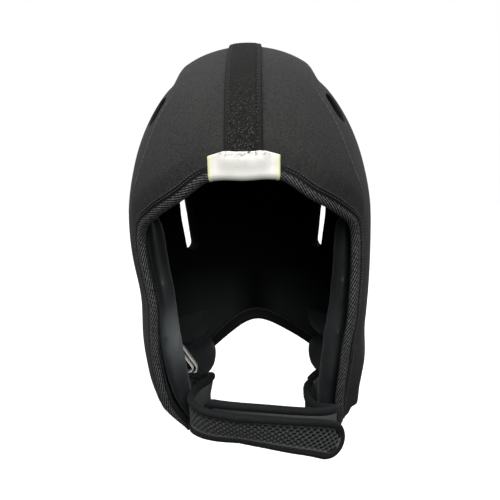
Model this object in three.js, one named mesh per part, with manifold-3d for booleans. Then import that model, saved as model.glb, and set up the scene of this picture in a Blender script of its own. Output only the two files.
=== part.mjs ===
// Soft shell football helmet: two padded half shells joined under a crown strip, bound all round
// with tape, with a folded brow label, inner pads and a two-part chin strap that overlaps at the front.
// Millimetres, +Z up, front towards -Y. The origin is where the top of the head meets the crown.
import * as THREE from "three";
import Module from "manifold-3d";

const wasm = await Module();
wasm.setup();

// Driving dimensions: the egg-shaped form of the outer surface
const WALL = { full: 12, edge: 6, fade: 22, outerShare: 0.4 };
const FORM = {
  halfWidth: 94,
  front: 112,
  back: 112,
  rise: 127,
  drop: 245,
  planPower: 2.3,
  domePower: 1.97,
  skirtPower: 2.2,
};
const FORM_CENTRE = new THREE.Vector3(0, 0, WALL.full - FORM.rise);
const GAP = 0.4;
const SEAM_HALF_GAP = 0.3;

// The shell's edge on the right half, from the middle of the brow round the cheek to the nape
const EDGE = [
  { at: "brow centre", x: 0, y: -107, z: -79 },
  { at: "brow flat", x: 24, y: -104, z: -80 },
  { at: "brow slope", x: 45, y: -98, z: -96 },
  { at: "brow side", x: 64, y: -84, z: -109 },
  { at: "temple", x: 77, y: -69, z: -122 },
  { at: "cheek top", x: 79, y: -66, z: -145 },
  { at: "cheek middle", x: 77, y: -66, z: -180 },
  { at: "cheek low", x: 73, y: -61, z: -214 },
  { at: "jaw front", x: 68, y: -54, z: -245 },
  { at: "jaw tip", x: 65, y: -40, z: -265 },
  { at: "jaw bottom", x: 67, y: -18, z: -272 },
  { at: "jaw back", x: 70, y: 10, z: -270 },
  { at: "neck side", x: 68, y: 42, z: -262 },
  { at: "neck back", x: 52, y: 74, z: -250 },
  { at: "nape side", x: 26, y: 94, z: -236 },
  { at: "nape centre", x: 0, y: 100, z: -227 },
];
const CHEEK_CORNER = EDGE.findIndex((row) => row.at === "cheek low");
const NECK_CORNER = EDGE.findIndex((row) => row.at === "neck side");

// The raised brow and crown panel, and the lower side panels beside it that hold the vents
const PANEL = {
  backEdge: -60,
  flat: 8,
  halfWidth: 50,
  softness: 6,
  raise: 3,
  sink: 1.4,
  fadeFrom: 60,
  fadeTo: 112,
};
const OPENINGS = [
  { name: "vent", at: [63, -49, -34.5], along: [8, -7.5, -17], long: 30, wide: 15 },
  { name: "ear slot", at: [64, 82, -128], along: [0.1, -0.1, 1], long: 62, wide: 15 },
];

// Tape, strip and label
const BINDING = { thick: 1.2, lip: 10, clear: 1 };
const STRIP = { width: 26, thick: 2.2, across: 4, along: 26, clear: 0.7 };
const LABEL = { width: 49, thick: 1.2, outerLip: 16, innerLip: 11, steps: 8, clear: 3.4 };

// Inner pads: middle of the pad on the form, size along and up the wall, and thickness
const PADS = [
  { name: "cheek_pad", at: [81, -33, -203], long: 54, tall: 170, thick: 18 },
  { name: "neck_pad_upper", at: [66, 56, -219], long: 82, tall: 36, thick: 10 },
  { name: "neck_pad_lower", at: [62, 52, -253.5], long: 70, tall: 29, thick: 10 },
];

// Chin strap sections from where each part is sewn inside a cheek to its free end: the middle of
// the band, and how far its top leans towards its outer face, in degrees
const STRAP = { thick: 5, bead: 6.2, clear: 0.7, step: 7 };
const OUTER_STRAP = {
  height: 30,
  root: { z: -256, clear: 1 },
  sections: [
    { x: -50, y: 4, z: -259.5, lean: 0 },
    { x: -41, y: 2, z: -265, lean: 1 },
    { x: -36, y: -6, z: -267, lean: 2 },
    { x: -38, y: -17, z: -267, lean: 4 },
    { x: -41, y: -29, z: -266, lean: 8 },
    { x: -43, y: -46, z: -265, lean: 18 },
    { x: -40, y: -64, z: -264, lean: 29 },
    { x: -29, y: -79, z: -263, lean: 34 },
    { x: -10, y: -86, z: -263, lean: 30 },
    { x: 10, y: -88, z: -265, lean: 22 },
    { x: 30, y: -86.5, z: -268.5, lean: 14 },
    { x: 48, y: -81, z: -273, lean: 7 },
    { x: 67, y: -69, z: -282, lean: 0 },
  ],
};
const INNER_STRAP = {
  height: 26,
  root: { z: -258, clear: 0.9 },
  sections: [
    { x: 50, y: 2, z: -263.5, lean: 0 },
    { x: 44, y: -5, z: -269, lean: 0 },
    { x: 42.5, y: -18, z: -272, lean: 0 },
    { x: 44, y: -37, z: -271.5, lean: 0 },
    { x: 48, y: -53, z: -269.5, lean: 0 },
    { x: 51.5, y: -65, z: -267, lean: -3 },
    { x: 45, y: -74, z: -265, lean: -8 },
    { x: 30, y: -80.8, z: -260.6, lean: -14 },
    { x: 10, y: -83.6, z: -256.5, lean: -22 },
    { x: -10, y: -82, z: -254, lean: -30 },
    { x: -22, y: -77.5, z: -253.5, lean: -34 },
    { x: -31, y: -69, z: -254, lean: -34 },
  ],
};
const STRAP_ROOT = { y: 2, run: 7 };

// Folded size tag that hangs off the wall behind the left cheek pad, edge on to the front
const TAG = {
  thick: 1.4,
  wide: 12,
  side: -1,
  y: 17,
  z: -227,
  path: [
    { inward: 0, down: 0 },
    { inward: 8, down: 0 },
    { inward: 14, down: 3 },
    { inward: 20, down: 11 },
    { inward: 25, down: 18.5 },
    { inward: 26.5, down: 21.5 },
    { inward: 25, down: 24 },
    { inward: 20.5, down: 26.5 },
  ],
};

// Mesh fineness
const SHELL_CELLS = { along: 16, across: 15 };
const RIM_ROWS = [0, 0.9, 3, 10];
const PAD_RINGS = [0.4, 0.72, 0.92];
const PAD_SECTORS = 18;

const UP = new THREE.Vector3(0, 0, 1);
const vector = (row) => new THREE.Vector3(row.x, row.y, row.z);
const smooth = (value, from, to) => THREE.MathUtils.smoothstep(value, from, to);
const mirrored = (p) => new THREE.Vector3(-p.x, p.y, p.z);

// The form: a superellipsoid dome over a skirt that draws in downwards

// Distance from the form's centre as a share of the surface's own, and that share's gradient
function gauge(d) {
  const n = FORM.planPower;
  const depth = d.y < 0 ? FORM.front : FORM.back;
  const height = d.z > 0 ? FORM.rise : FORM.drop;
  const m = d.z > 0 ? FORM.domePower : FORM.skirtPower;
  const u = Math.abs(d.x) / FORM.halfWidth;
  const v = Math.abs(d.y) / depth;
  const w = Math.abs(d.z) / height;
  const ring = Math.max((u ** n + v ** n) ** (1 / n), 1e-6);
  const inPlan = ring ** (m - n);
  const gradient = new THREE.Vector3(
    (Math.sign(d.x) * inPlan * u ** (n - 1)) / FORM.halfWidth,
    (Math.sign(d.y) * inPlan * v ** (n - 1)) / depth,
    (Math.sign(d.z) * w ** (m - 1)) / height,
  );
  return { share: (ring ** m + w ** m) ** (1 / m), gradient };
}

// A point moved along its line from the form's centre until it lies on the form
function onForm(p) {
  const d = p.clone().sub(FORM_CENTRE);
  return d.divideScalar(gauge(d).share).add(FORM_CENTRE);
}

// The point of the form's side at a given depth and height
function sideOfForm(side, y, z) {
  const height = z - FORM_CENTRE.z;
  const [w, m] = height > 0 ? [height / FORM.rise, FORM.domePower] : [-height / FORM.drop, FORM.skirtPower];
  const ring = (1 - w ** m) ** (1 / m);
  const v = Math.abs(y) / (y < 0 ? FORM.front : FORM.back);
  const n = FORM.planPower;
  return new THREE.Vector3(side * FORM.halfWidth * (ring ** n - v ** n) ** (1 / n), y, z);
}

function outward(p) {
  return gauge(p.clone().sub(FORM_CENTRE)).gradient.normalize();
}

// The edge: one closed curve drawn on the form
const rightEdge = EDGE.map((row) => onForm(vector(row)));
const leftEdge = rightEdge.slice(1, -1).map(mirrored).reverse();
const edgeCurve = new THREE.CatmullRomCurve3([...rightEdge, ...leftEdge], true, "catmullrom", 0.5);
const edgeRows = rightEdge.length + leftEdge.length;

// Points of the edge between two rows of its table, dense enough to measure along
function edgeBetween(fromRow, toRow, count = 160) {
  const share = (i) => (fromRow + ((toRow - fromRow) * i) / count) / edgeRows;
  return Array.from({ length: count + 1 }, (_, i) => onForm(edgeCurve.getPoint(share(i))));
}
const edgeSamples = edgeBetween(0, EDGE.length - 1, 400);

function edgeDistance(p) {
  const q = new THREE.Vector3(Math.abs(p.x), p.y, p.z);
  return Math.sqrt(Math.min(...edgeSamples.map((e) => e.distanceToSquared(q))));
}

// The wall: how far its outer and inner faces lie from the form, by distance from the edge

function relief(p) {
  const behind = smooth(p.y, PANEL.backEdge - PANEL.softness, PANEL.backEdge + PANEL.softness);
  const width = Math.abs(p.x);
  const aside = smooth(width, PANEL.halfWidth - PANEL.softness, PANEL.halfWidth + PANEL.softness);
  const high = 1 - smooth(-p.z, PANEL.fadeFrom, PANEL.fadeTo);
  const raise = PANEL.raise * smooth(width, PANEL.flat, PANEL.halfWidth);
  return high * THREE.MathUtils.lerp(raise, -PANEL.sink, behind * aside);
}

function wall(p, distance) {
  const away = smooth(distance, 0, WALL.fade);
  const thinning = (WALL.full - WALL.edge) * (1 - away);
  const outer = -WALL.outerShare * thinning + relief(p) * away;
  const inner = -WALL.full + (1 - WALL.outerShare) * thinning;
  const radius = WALL.edge / 2;
  const round = distance < radius ? Math.sqrt(1 - (1 - distance / radius) ** 2) : 1;
  const middle = (outer + inner) / 2;
  const half = ((outer - inner) / 2) * round;
  return { outer: middle + half, inner: middle - half, middle };
}

const lifted = (p, height) => p.clone().addScaledVector(outward(p), height);

// Polylines

function lengths(points) {
  const total = [0];
  points.slice(1).forEach((p, i) => total.push(total[i] + p.distanceTo(points[i])));
  return total;
}

// The points of a line at the given distances along it, set back onto the form
function pointsAt(points, distances) {
  const total = lengths(points);
  return distances.map((distance) => {
    const next = total.findIndex((t) => t >= distance - 1e-9);
    const i = next < 0 ? points.length - 1 : Math.max(next, 1);
    const share = (distance - total[i - 1]) / (total[i] - total[i - 1]);
    return onForm(points[i - 1].clone().lerp(points[i], share));
  });
}

// Distances along a line: close together where it meets a rim, even between
function stations(length, cells, rimAtStart, rimAtEnd) {
  const start = rimAtStart ? RIM_ROWS : [0];
  const end = (rimAtEnd ? RIM_ROWS : [0]).map((d) => length - d).reverse();
  const from = start.at(-1);
  const step = (end[0] - from) / cells;
  const middle = Array.from({ length: cells - 1 }, (_, i) => from + step * (i + 1));
  return [...start, ...middle, ...end];
}

const respaced = (points, cells, rimAtStart, rimAtEnd) =>
  pointsAt(points, stations(lengths(points).at(-1), cells, rimAtStart, rimAtEnd));

const transposed = (rows) => rows[0].map((_, j) => rows.map((row) => row[j]));

// The net of the right half shell: a Coons patch between its four edges, set onto the form.
// Rows run from brow to nape, the first along the crown's middle and the last along the jaw.
function shellNet() {
  const fine = 60;
  const even = (points) => {
    const total = lengths(points).at(-1);
    return pointsAt(points, Array.from({ length: fine + 1 }, (_, i) => (total * i) / fine));
  };
  const browAngle = Math.atan2(rightEdge[0].z - FORM_CENTRE.z, -rightEdge[0].y);
  const nape = rightEdge.at(-1);
  const napeAngle = Math.PI * 2 + Math.atan2(nape.z - FORM_CENTRE.z, -nape.y);
  const arc = Array.from({ length: fine + 1 }, (_, i) => {
    const angle = THREE.MathUtils.lerp(browAngle, napeAngle, i / fine);
    return onForm(new THREE.Vector3(0, -Math.cos(angle), Math.sin(angle)).add(FORM_CENTRE));
  });
  const crown = even(arc);
  const front = even(edgeBetween(0, CHEEK_CORNER));
  const jaw = even(edgeBetween(CHEEK_CORNER, NECK_CORNER));
  const back = even(edgeBetween(EDGE.length - 1, NECK_CORNER));
  const blend = (terms) =>
    terms.reduce((sum, [p, weight]) => sum.addScaledVector(p, weight), new THREE.Vector3());
  const rows = Array.from({ length: fine + 1 }, (_, j) => {
    const t = j / fine;
    return Array.from({ length: fine + 1 }, (_, i) => {
      const s = i / fine;
      const corners = [
        [crown[0], -(1 - s) * (1 - t)],
        [crown[fine], -s * (1 - t)],
        [jaw[0], -(1 - s) * t],
        [jaw[fine], -s * t],
      ];
      const sides = [
        [crown[i], 1 - t],
        [jaw[i], t],
        [front[j], 1 - s],
        [back[j], s],
      ];
      return onForm(blend([...sides, ...corners]));
    });
  });
  const alongRows = rows.map((row) => respaced(row, SHELL_CELLS.along, true, true));
  const columns = transposed(alongRows).map((line) => respaced(line, SHELL_CELLS.across, false, true));
  return transposed(columns);
}

// Solids

// A mesh builder that keeps each new vertex once and adds quads and triangles by index
class Faces {
  constructor() {
    this.positions = [];
    this.triangles = [];
  }
  vertex(p) {
    this.positions.push(p.x, p.y, p.z);
    return this.positions.length / 3 - 1;
  }
  quad(a, b, c, d) {
    this.triangle(a, b, c);
    this.triangle(a, c, d);
  }
  triangle(a, b, c) {
    if (a !== b && b !== c && a !== c) this.triangles.push(a, b, c);
  }
  // A cap whose two long sides run side by side, as in a folded or a flat section
  cap(loop) {
    const last = loop.length - 1;
    for (let i = 0; i < last / 2; i++) this.quad(loop[i], loop[i + 1], loop[last - i - 1], loop[last - i]);
  }
  geometry() {
    const made = new THREE.BufferGeometry();
    made.setAttribute("position", new THREE.Float32BufferAttribute(this.positions, 3));
    made.setIndex(this.triangles);
    return made;
  }
}

function toSolid(geometry) {
  return new wasm.Manifold(
    new wasm.Mesh({
      numProp: 3,
      vertProperties: new Float32Array(geometry.getAttribute("position").array),
      triVerts: new Uint32Array(geometry.index.array),
    }),
  );
}

function toGeometry(solid) {
  const mesh = solid.getMesh();
  const made = new THREE.BufferGeometry();
  made.setAttribute("position", new THREE.BufferAttribute(mesh.vertProperties, 3));
  made.setIndex(new THREE.BufferAttribute(mesh.triVerts, 1));
  return made;
}

// A solid skinned over closed sections that all have the same number of points.
// Where the run isn't a loop, its two end sections are capped.
function lofted(sections, isLoop = false) {
  const faces = new Faces();
  const rings = sections.map((section) => section.map((p) => faces.vertex(p)));
  const count = rings[0].length;
  const runs = isLoop ? rings.length : rings.length - 1;
  for (let k = 0; k < runs; k++) {
    const here = rings[k];
    const next = rings[(k + 1) % rings.length];
    for (let i = 0; i < count; i++) {
      const j = (i + 1) % count;
      faces.quad(here[i], here[j], next[j], next[i]);
    }
  }
  if (!isLoop) {
    faces.cap([...rings[0]].reverse());
    faces.cap(rings.at(-1));
  }
  return faces.geometry();
}

// A rounded slot cutter through the wall, square to it
function slotCutter({ at, along, long, wide }) {
  const radius = wide / 2;
  const straight = long / 2 - radius;
  const shape = new THREE.Shape();
  shape.absarc(straight, 0, radius, -Math.PI / 2, Math.PI / 2, false);
  shape.absarc(-straight, 0, radius, Math.PI / 2, (3 * Math.PI) / 2, false);
  const depth = WALL.full * 3;
  const prism = new THREE.ExtrudeGeometry(shape, { depth, bevelEnabled: false, curveSegments: 5 });
  const centre = onForm(new THREE.Vector3(...at));
  const normal = outward(centre);
  const direction = new THREE.Vector3(...along).normalize();
  direction.addScaledVector(normal, -direction.dot(normal)).normalize();
  const across = normal.clone().cross(direction);
  const place = new THREE.Matrix4().makeBasis(direction, across, normal);
  place.setPosition(centre.addScaledVector(normal, -depth / 2));
  prism.applyMatrix4(place);
  prism.deleteAttribute("normal");
  prism.deleteAttribute("uv");
  return toSolid(welded(prism));
}

// The same triangles with vertices that lie together made one
function welded(geometry) {
  const position = geometry.getAttribute("position");
  const faces = new Faces();
  const known = new Map();
  const indexOf = (i) => {
    const p = new THREE.Vector3().fromBufferAttribute(position, i);
    const key = p.toArray().map((value) => value.toFixed(3)).join();
    if (!known.has(key)) known.set(key, faces.vertex(p));
    return known.get(key);
  };
  const order = geometry.index ? [...geometry.index.array] : [...Array(position.count).keys()];
  for (let k = 0; k < order.length; k += 3) {
    faces.triangle(indexOf(order[k]), indexOf(order[k + 1]), indexOf(order[k + 2]));
  }
  return faces.geometry();
}

// The right half shell: two skins that meet in a round rim, and a flat wall along the crown seam
function halfShell(net) {
  const faces = new Faces();
  const lastRow = net.length - 1;
  const lastColumn = net[0].length - 1;
  const skins = net.map((row, j) =>
    row.map((p, i) => {
      const onRim = i === 0 || i === lastColumn || j === lastRow;
      const { outer, inner } = wall(p, onRim ? 0 : edgeDistance(p));
      const ends = (onRim ? [outer] : [outer, inner]).map((height) => {
        const q = lifted(p, height);
        if (j === 0) q.x = SEAM_HALF_GAP;
        return faces.vertex(q);
      });
      return { outer: ends[0], inner: ends.at(-1) };
    }),
  );
  for (let j = 0; j < lastRow; j++) {
    for (let i = 0; i < lastColumn; i++) {
      const [a, b] = [skins[j][i], skins[j][i + 1]];
      const [d, c] = [skins[j + 1][i], skins[j + 1][i + 1]];
      faces.quad(a.outer, d.outer, c.outer, b.outer);
      faces.quad(a.inner, b.inner, c.inner, d.inner);
    }
  }
  for (let i = 0; i < lastColumn; i++) {
    const [a, b] = [skins[0][i], skins[0][i + 1]];
    faces.quad(a.outer, b.outer, b.inner, a.inner);
  }
  const openings = OPENINGS.map(slotCutter);
  return toGeometry(openings.reduce((solid, cutter) => solid.subtract(cutter), toSolid(faces.geometry())));
}

// Tape folded over the edge: a channel section at each edge point, worked out in the plane that
// crosses the edge there, or crosses a given axis. The lips follow the wall's two faces.
function edgeWrap(points, isLoop, { clear, thick, outerLip, innerLip, axis }) {
  const radius = WALL.edge / 2;
  const turns = [90, 45, 0, -45, -90].map(THREE.MathUtils.degToRad);
  const sections = points.map((p, k) => {
    const last = points.length - 1;
    const before = points[isLoop ? (k + last) % points.length : Math.max(k - 1, 0)];
    const after = points[isLoop ? (k + 1) % points.length : Math.min(k + 1, last)];
    const along = axis ?? after.clone().sub(before).normalize();
    const inland = outward(p).cross(along).normalize();
    const place = (reach, height) => lifted(onForm(p.clone().addScaledVector(inland, reach)), height);
    const middle = wall(p, 0).middle;
    const layer = (offset) => {
      const lipHeight = (reach, face, sign) => {
        const q = onForm(p.clone().addScaledVector(inland, reach));
        return wall(q, edgeDistance(q))[face] + sign * offset;
      };
      const bend = turns.map((turn) => {
        const reach = radius - (radius + offset) * Math.cos(turn);
        return place(reach, middle + (radius + offset) * Math.sin(turn));
      });
      const outerEnd = place(outerLip, lipHeight(outerLip, "outer", 1));
      const innerEnd = place(innerLip, lipHeight(innerLip, "inner", -1));
      return [outerEnd, ...bend, innerEnd];
    };
    return [...layer(clear + thick), ...layer(clear).reverse()];
  });
  return lofted(sections, isLoop);
}

// The edge points of the whole loop, taken from the net's own rim so that tape and shell keep step
function rimLoop(net) {
  const lastColumn = net[0].length - 1;
  const skipRim = (points) => points.slice(0, points.length - RIM_ROWS.length + 1);
  const front = skipRim(net.map((row) => row[0]));
  const rim = RIM_ROWS.length - 1;
  const jawRun = net.at(-1);
  const jaw = [jawRun[0], ...jawRun.slice(rim, lastColumn - rim + 1), jawRun[lastColumn]];
  const back = skipRim(net.map((row) => row[lastColumn])).reverse();
  const right = [...front, ...jaw, ...back];
  return [...right, ...right.slice(1, -1).map(mirrored).reverse()];
}

// A strip over the crown seam, between the two bound edges
function crownStrip(net) {
  const run = net[0];
  const total = lengths(run).at(-1);
  const end = BINDING.lip + 1.5;
  const points = pointsAt(
    run,
    Array.from({ length: STRIP.along + 1 }, (_, i) => end + ((total - 2 * end) * i) / STRIP.along),
  );
  const sides = Array.from({ length: STRIP.across + 1 }, (_, i) => STRIP.width * (i / STRIP.across - 0.5));
  const sections = points.map((p) => {
    const layer = (offset) =>
      sides.map((x) => {
        const q = onForm(p.clone().setX(x));
        return lifted(q, wall(q, edgeDistance(q)).outer + offset);
      });
    return [...layer(STRIP.clear + STRIP.thick), ...layer(STRIP.clear).reverse()];
  });
  return lofted(sections);
}

// The label folded over the middle of the brow
function browLabel() {
  const right = edgeBetween(0, 3);
  const half = LABEL.steps / 2;
  const steps = Array.from({ length: half + 1 }, (_, i) => (LABEL.width * i) / LABEL.steps);
  const side = pointsAt(right, steps);
  const points = [...side.slice(1).map(mirrored).reverse(), ...side];
  return edgeWrap(points, false, { ...LABEL, axis: new THREE.Vector3(1, 0, 0) });
}

// A pillow on the inside of the wall: rings round its middle, thickest there, and closed on the wall
function innerPad({ at, long, tall, thick }) {
  const centre = onForm(new THREE.Vector3(...at));
  const normal = outward(centre);
  const along = UP.clone().cross(normal).normalize();
  const up = normal.clone().cross(along);
  const seat = -WALL.full - GAP;
  const squareness = 3;
  const place = (ring, turn, height) => {
    const [c, s] = [Math.cos(turn), Math.sin(turn)];
    const reach = ring / (Math.abs(c) ** squareness + Math.abs(s) ** squareness) ** (1 / squareness);
    const flat = centre.clone().addScaledVector(along, (c * reach * long) / 2);
    flat.addScaledVector(up, (s * reach * tall) / 2);
    return lifted(onForm(flat), seat - height);
  };
  const faces = new Faces();
  const crown = (ring) => thick * Math.sqrt(1 - ring ** 3.5);
  const circle = (ring, height) =>
    Array.from({ length: PAD_SECTORS }, (_, i) =>
      faces.vertex(place(ring, (2 * Math.PI * i) / PAD_SECTORS, height)),
    );
  const front = PAD_RINGS.map((ring) => circle(ring, crown(ring)));
  const rim = circle(1, thick * 0.12);
  const back = [circle(0.97, 0), circle(0.55, 0)];
  const frontMiddle = faces.vertex(place(0, 0, thick));
  const backMiddle = faces.vertex(place(0, 0, 0));
  const rings = [...front, rim, ...back];
  for (let i = 0; i < PAD_SECTORS; i++) {
    const j = (i + 1) % PAD_SECTORS;
    faces.triangle(frontMiddle, rings[0][j], rings[0][i]);
    for (let k = 0; k < rings.length - 1; k++) {
      faces.quad(rings[k][i], rings[k][j], rings[k + 1][j], rings[k + 1][i]);
    }
    faces.triangle(backMiddle, rings.at(-1)[i], rings.at(-1)[j]);
  }
  return faces.geometry();
}

// Chin strap: a band carried along a level path, with a bound bead round its edge

// The band's own frame at a distance along it: middle, outer face direction and height direction
function strapFrames({ sections, root }, side) {
  const onWall = sideOfForm(side, STRAP_ROOT.y, root.z);
  const rows = [
    { p: lifted(onWall, -WALL.full - root.clear), lean: 0 },
    { p: lifted(onWall, -WALL.full - root.clear - STRAP_ROOT.run), lean: 0 },
    ...sections.map((row) => ({ p: vector(row), lean: row.lean })),
  ];
  const path = new THREE.CatmullRomCurve3(rows.map((row) => row.p), false, "centripetal");
  const leans = new THREE.CatmullRomCurve3(rows.map((row) => new THREE.Vector3(row.lean, 0, 0)));
  const length = path.getLength();
  const frame = (distance) => {
    const share = THREE.MathUtils.clamp(distance / length, 0, 1);
    const t = path.getUtoTmapping(share);
    const tangent = path.getTangent(t);
    const face = tangent.clone().setZ(0).normalize().cross(UP).normalize();
    const lean = THREE.MathUtils.degToRad(leans.getPoint(t).x);
    const rise = UP.clone().multiplyScalar(Math.cos(lean)).addScaledVector(face, Math.sin(lean));
    rise.addScaledVector(tangent, -rise.dot(tangent)).normalize();
    return { middle: path.getPoint(t), face: tangent.clone().cross(rise).normalize(), rise };
  };
  const place = (distance, across, out) => {
    const { middle, face, rise } = frame(distance);
    return middle.clone().addScaledVector(rise, across).addScaledVector(face, out);
  };
  return { length, place };
}

// The padded middle of the band, with a round free end inside the bead
function strapPad(strap, side) {
  const { length, place } = strapFrames(strap, side);
  const half = strap.height / 2 - STRAP.bead - STRAP.clear;
  const tipCentre = length - strap.height / 2;
  const steps = Math.round(tipCentre / STRAP.step);
  const body = Array.from({ length: steps + 1 }, (_, i) => ({ at: (tipCentre * i) / steps, reach: half }));
  const tip = [30, 55, 75].map(THREE.MathUtils.degToRad).map((turn) => ({
    at: tipCentre + half * Math.sin(turn),
    reach: half * Math.cos(turn),
  }));
  const sections = [...body, ...tip].map(({ at, reach }) => [
    place(at, reach, -STRAP.thick / 2),
    place(at, reach, STRAP.thick * 0.3),
    place(at, 0, STRAP.thick / 2),
    place(at, -reach, STRAP.thick * 0.3),
    place(at, -reach, -STRAP.thick / 2),
  ]);
  return lofted(sections);
}

// The bead: up along the top edge, round the free end and back along the bottom edge
function strapBead(strap, side) {
  const { length, place } = strapFrames(strap, side);
  const offset = strap.height / 2 - STRAP.bead / 2;
  const tipCentre = length - strap.height / 2;
  const steps = Math.round(tipCentre / STRAP.step);
  const top = Array.from({ length: steps + 1 }, (_, i) => ({
    at: (tipCentre * i) / steps,
    turn: Math.PI / 2,
  }));
  const bottom = top.map(({ at }) => ({ at, turn: -Math.PI / 2 })).reverse();
  const tip = [60, 30, 0, -30, -60].map(THREE.MathUtils.degToRad).map((turn) => ({ at: tipCentre, turn }));
  const sides = 6;
  const sections = [...top, ...tip, ...bottom].map(({ at, turn }) =>
    Array.from({ length: sides }, (_, k) => {
      const angle = (2 * Math.PI * (k + 0.5)) / sides;
      const out = (Math.sin(angle) * STRAP.bead) / 2;
      const spread = offset + (Math.cos(angle) * STRAP.bead) / 2;
      return place(at + Math.cos(turn) * spread, Math.sin(turn) * spread, out);
    }),
  );
  return lofted(sections);
}

// A ribbon that leaves the wall, hangs and folds back at its end
function foldedTag() {
  const root = lifted(sideOfForm(TAG.side, TAG.y, TAG.z), -WALL.full - TAG.thick);
  const points = TAG.path.map(
    ({ inward, down }) => new THREE.Vector3(root.x - TAG.side * inward, root.y, root.z - down),
  );
  const sections = points.map((p, k) => {
    const before = points[Math.max(k - 1, 0)];
    const after = points[Math.min(k + 1, points.length - 1)];
    const along = after.clone().sub(before).normalize();
    const across = new THREE.Vector3(0, TAG.wide / 2, 0);
    const out = along.clone().cross(across).setLength(TAG.thick / 2);
    const corner = (a, b) => p.clone().addScaledVector(across, a).addScaledVector(out, b);
    return [corner(-1, -1), corner(1, -1), corner(1, 1), corner(-1, 1)];
  });
  return lofted(sections);
}

// Materials
const fabric = (color, roughness) => new THREE.MeshStandardMaterial({ color, roughness, metalness: 0 });
const jersey = fabric(0x2b2c2d, 0.75);
const lining = fabric(0x17181a, 0.7);
const twill = fabric(0x1d1e1f, 0.8);
const webbing = fabric(0x222324, 0.85);
const airMesh = fabric(0x1a1b1c, 0.85);
const satin = fabric(0xf0efe6, 0.5);

// Assembly
const helmet = new THREE.Group();
function add(name, geometry, material, isMirrored = false) {
  const mesh = new THREE.Mesh(geometry, material);
  mesh.name = name;
  if (isMirrored) mesh.scale.x = -1;
  helmet.add(mesh);
}
function addPair(name, geometry, material) {
  add(`${name}_right`, geometry, material);
  add(`${name}_left`, geometry, material, true);
}

const net = shellNet();
addPair("shell", halfShell(net), jersey);
const tape = { ...BINDING, outerLip: BINDING.lip, innerLip: BINDING.lip };
add("edge_binding", edgeWrap(rimLoop(net), true, tape), twill);
add("crown_strip", crownStrip(net), webbing);
add("brow_label", browLabel(), satin);
for (const pad of PADS) addPair(pad.name, innerPad(pad), lining);
add("chin_strap_outer_pad", strapPad(OUTER_STRAP, -1), airMesh);
add("chin_strap_outer_bead", strapBead(OUTER_STRAP, -1), jersey);
add("chin_strap_inner_pad", strapPad(INNER_STRAP, 1), airMesh);
add("chin_strap_inner_bead", strapBead(INNER_STRAP, 1), jersey);
add("inner_tag", foldedTag(), satin);

export default helmet;
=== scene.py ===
# %% [markdown]
# # A soft shell football helmet
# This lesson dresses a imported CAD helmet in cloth. The real one is foam under stretch jersey: two half
# shells, tape folded round the edge, a woven strip over the crown seam, pads inside and a chin strap in
# two parts. Each piece here is a surface worked out from the same few sizes as its CAD solid, so it lies
# where the solid does, and then gets the folds, stitches and weave that the solid leaves out.

import bmesh
import bpy
import numpy as np
from mathutils import Matrix, Vector


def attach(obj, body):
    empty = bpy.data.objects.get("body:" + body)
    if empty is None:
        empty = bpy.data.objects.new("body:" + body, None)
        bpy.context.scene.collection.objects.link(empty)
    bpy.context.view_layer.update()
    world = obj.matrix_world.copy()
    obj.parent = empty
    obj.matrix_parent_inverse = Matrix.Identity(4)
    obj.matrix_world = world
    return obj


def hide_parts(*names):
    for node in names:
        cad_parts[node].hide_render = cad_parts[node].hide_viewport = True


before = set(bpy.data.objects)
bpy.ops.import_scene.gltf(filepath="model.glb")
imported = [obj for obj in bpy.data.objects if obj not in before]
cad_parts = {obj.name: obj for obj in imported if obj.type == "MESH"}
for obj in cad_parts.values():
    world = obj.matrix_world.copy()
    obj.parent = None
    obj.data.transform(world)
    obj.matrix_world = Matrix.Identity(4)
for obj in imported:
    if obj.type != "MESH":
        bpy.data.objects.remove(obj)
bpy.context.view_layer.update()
print("solids:", ", ".join(sorted(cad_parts)))

# %% [markdown]
# ## From arrays to a mesh
# Blender keeps a mesh as flat lists: the points, the point numbers of each face in turn, and where each
# face starts. numpy makes such lists whole, which is far quicker than adding faces one by one. The
# pieces' sizes in this file are millimetres, and become metres only here.

# %% Put arrays into a mesh
MM = 0.001


def grid_faces(ids, close_rows=False, close_columns=False):
    """The quads between neighbouring rows and columns of a table of point numbers. Closing a direction
    joins its last line to its first."""
    ids = np.vstack([ids, ids[:1]]) if close_rows else ids
    ids = np.hstack([ids, ids[:, :1]]) if close_columns else ids
    corners = [ids[:-1, :-1], ids[:-1, 1:], ids[1:, 1:], ids[1:, :-1]]
    return np.stack(corners, -1).reshape(-1, 4)


def mesh_from(name, points, face_sets, cloth_mm=None):
    """A smooth mesh with its faces turned outwards. cloth_mm gives each point's place on the flat cloth,
    along and across in millimetres, and becomes the UV map that the weaves are drawn on."""
    mesh = bpy.data.meshes.new(name)
    corners = np.concatenate([faces.ravel() for faces in face_sets]).astype(np.int32)
    sizes = np.concatenate([np.full(len(faces), faces.shape[1]) for faces in face_sets])
    mesh.vertices.add(len(points))
    mesh.vertices.foreach_set("co", (points * MM).astype(np.float32).ravel())
    mesh.loops.add(len(corners))
    mesh.loops.foreach_set("vertex_index", corners)
    mesh.polygons.add(len(sizes))
    mesh.polygons.foreach_set("loop_start", (np.cumsum(sizes) - sizes).astype(np.int32))
    if cloth_mm is not None:
        layer = mesh.uv_layers.new(name="cloth_mm")
        layer.data.foreach_set("uv", cloth_mm[corners].astype(np.float32).ravel())
    mesh.update(calc_edges=True)
    mesh.validate()
    shape = bmesh.new()
    shape.from_mesh(mesh)
    bmesh.ops.recalc_face_normals(shape, faces=shape.faces)
    shape.to_mesh(mesh)
    shape.free()
    mesh.shade_smooth()
    return mesh


def smooth(value, low, high):
    """An S-shaped step from 0 at low to 1 at high: 3t² - 2t³, with t the share of the way."""
    t = np.clip((value - low) / (high - low), 0, 1)
    return t * t * (3 - 2 * t)


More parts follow.
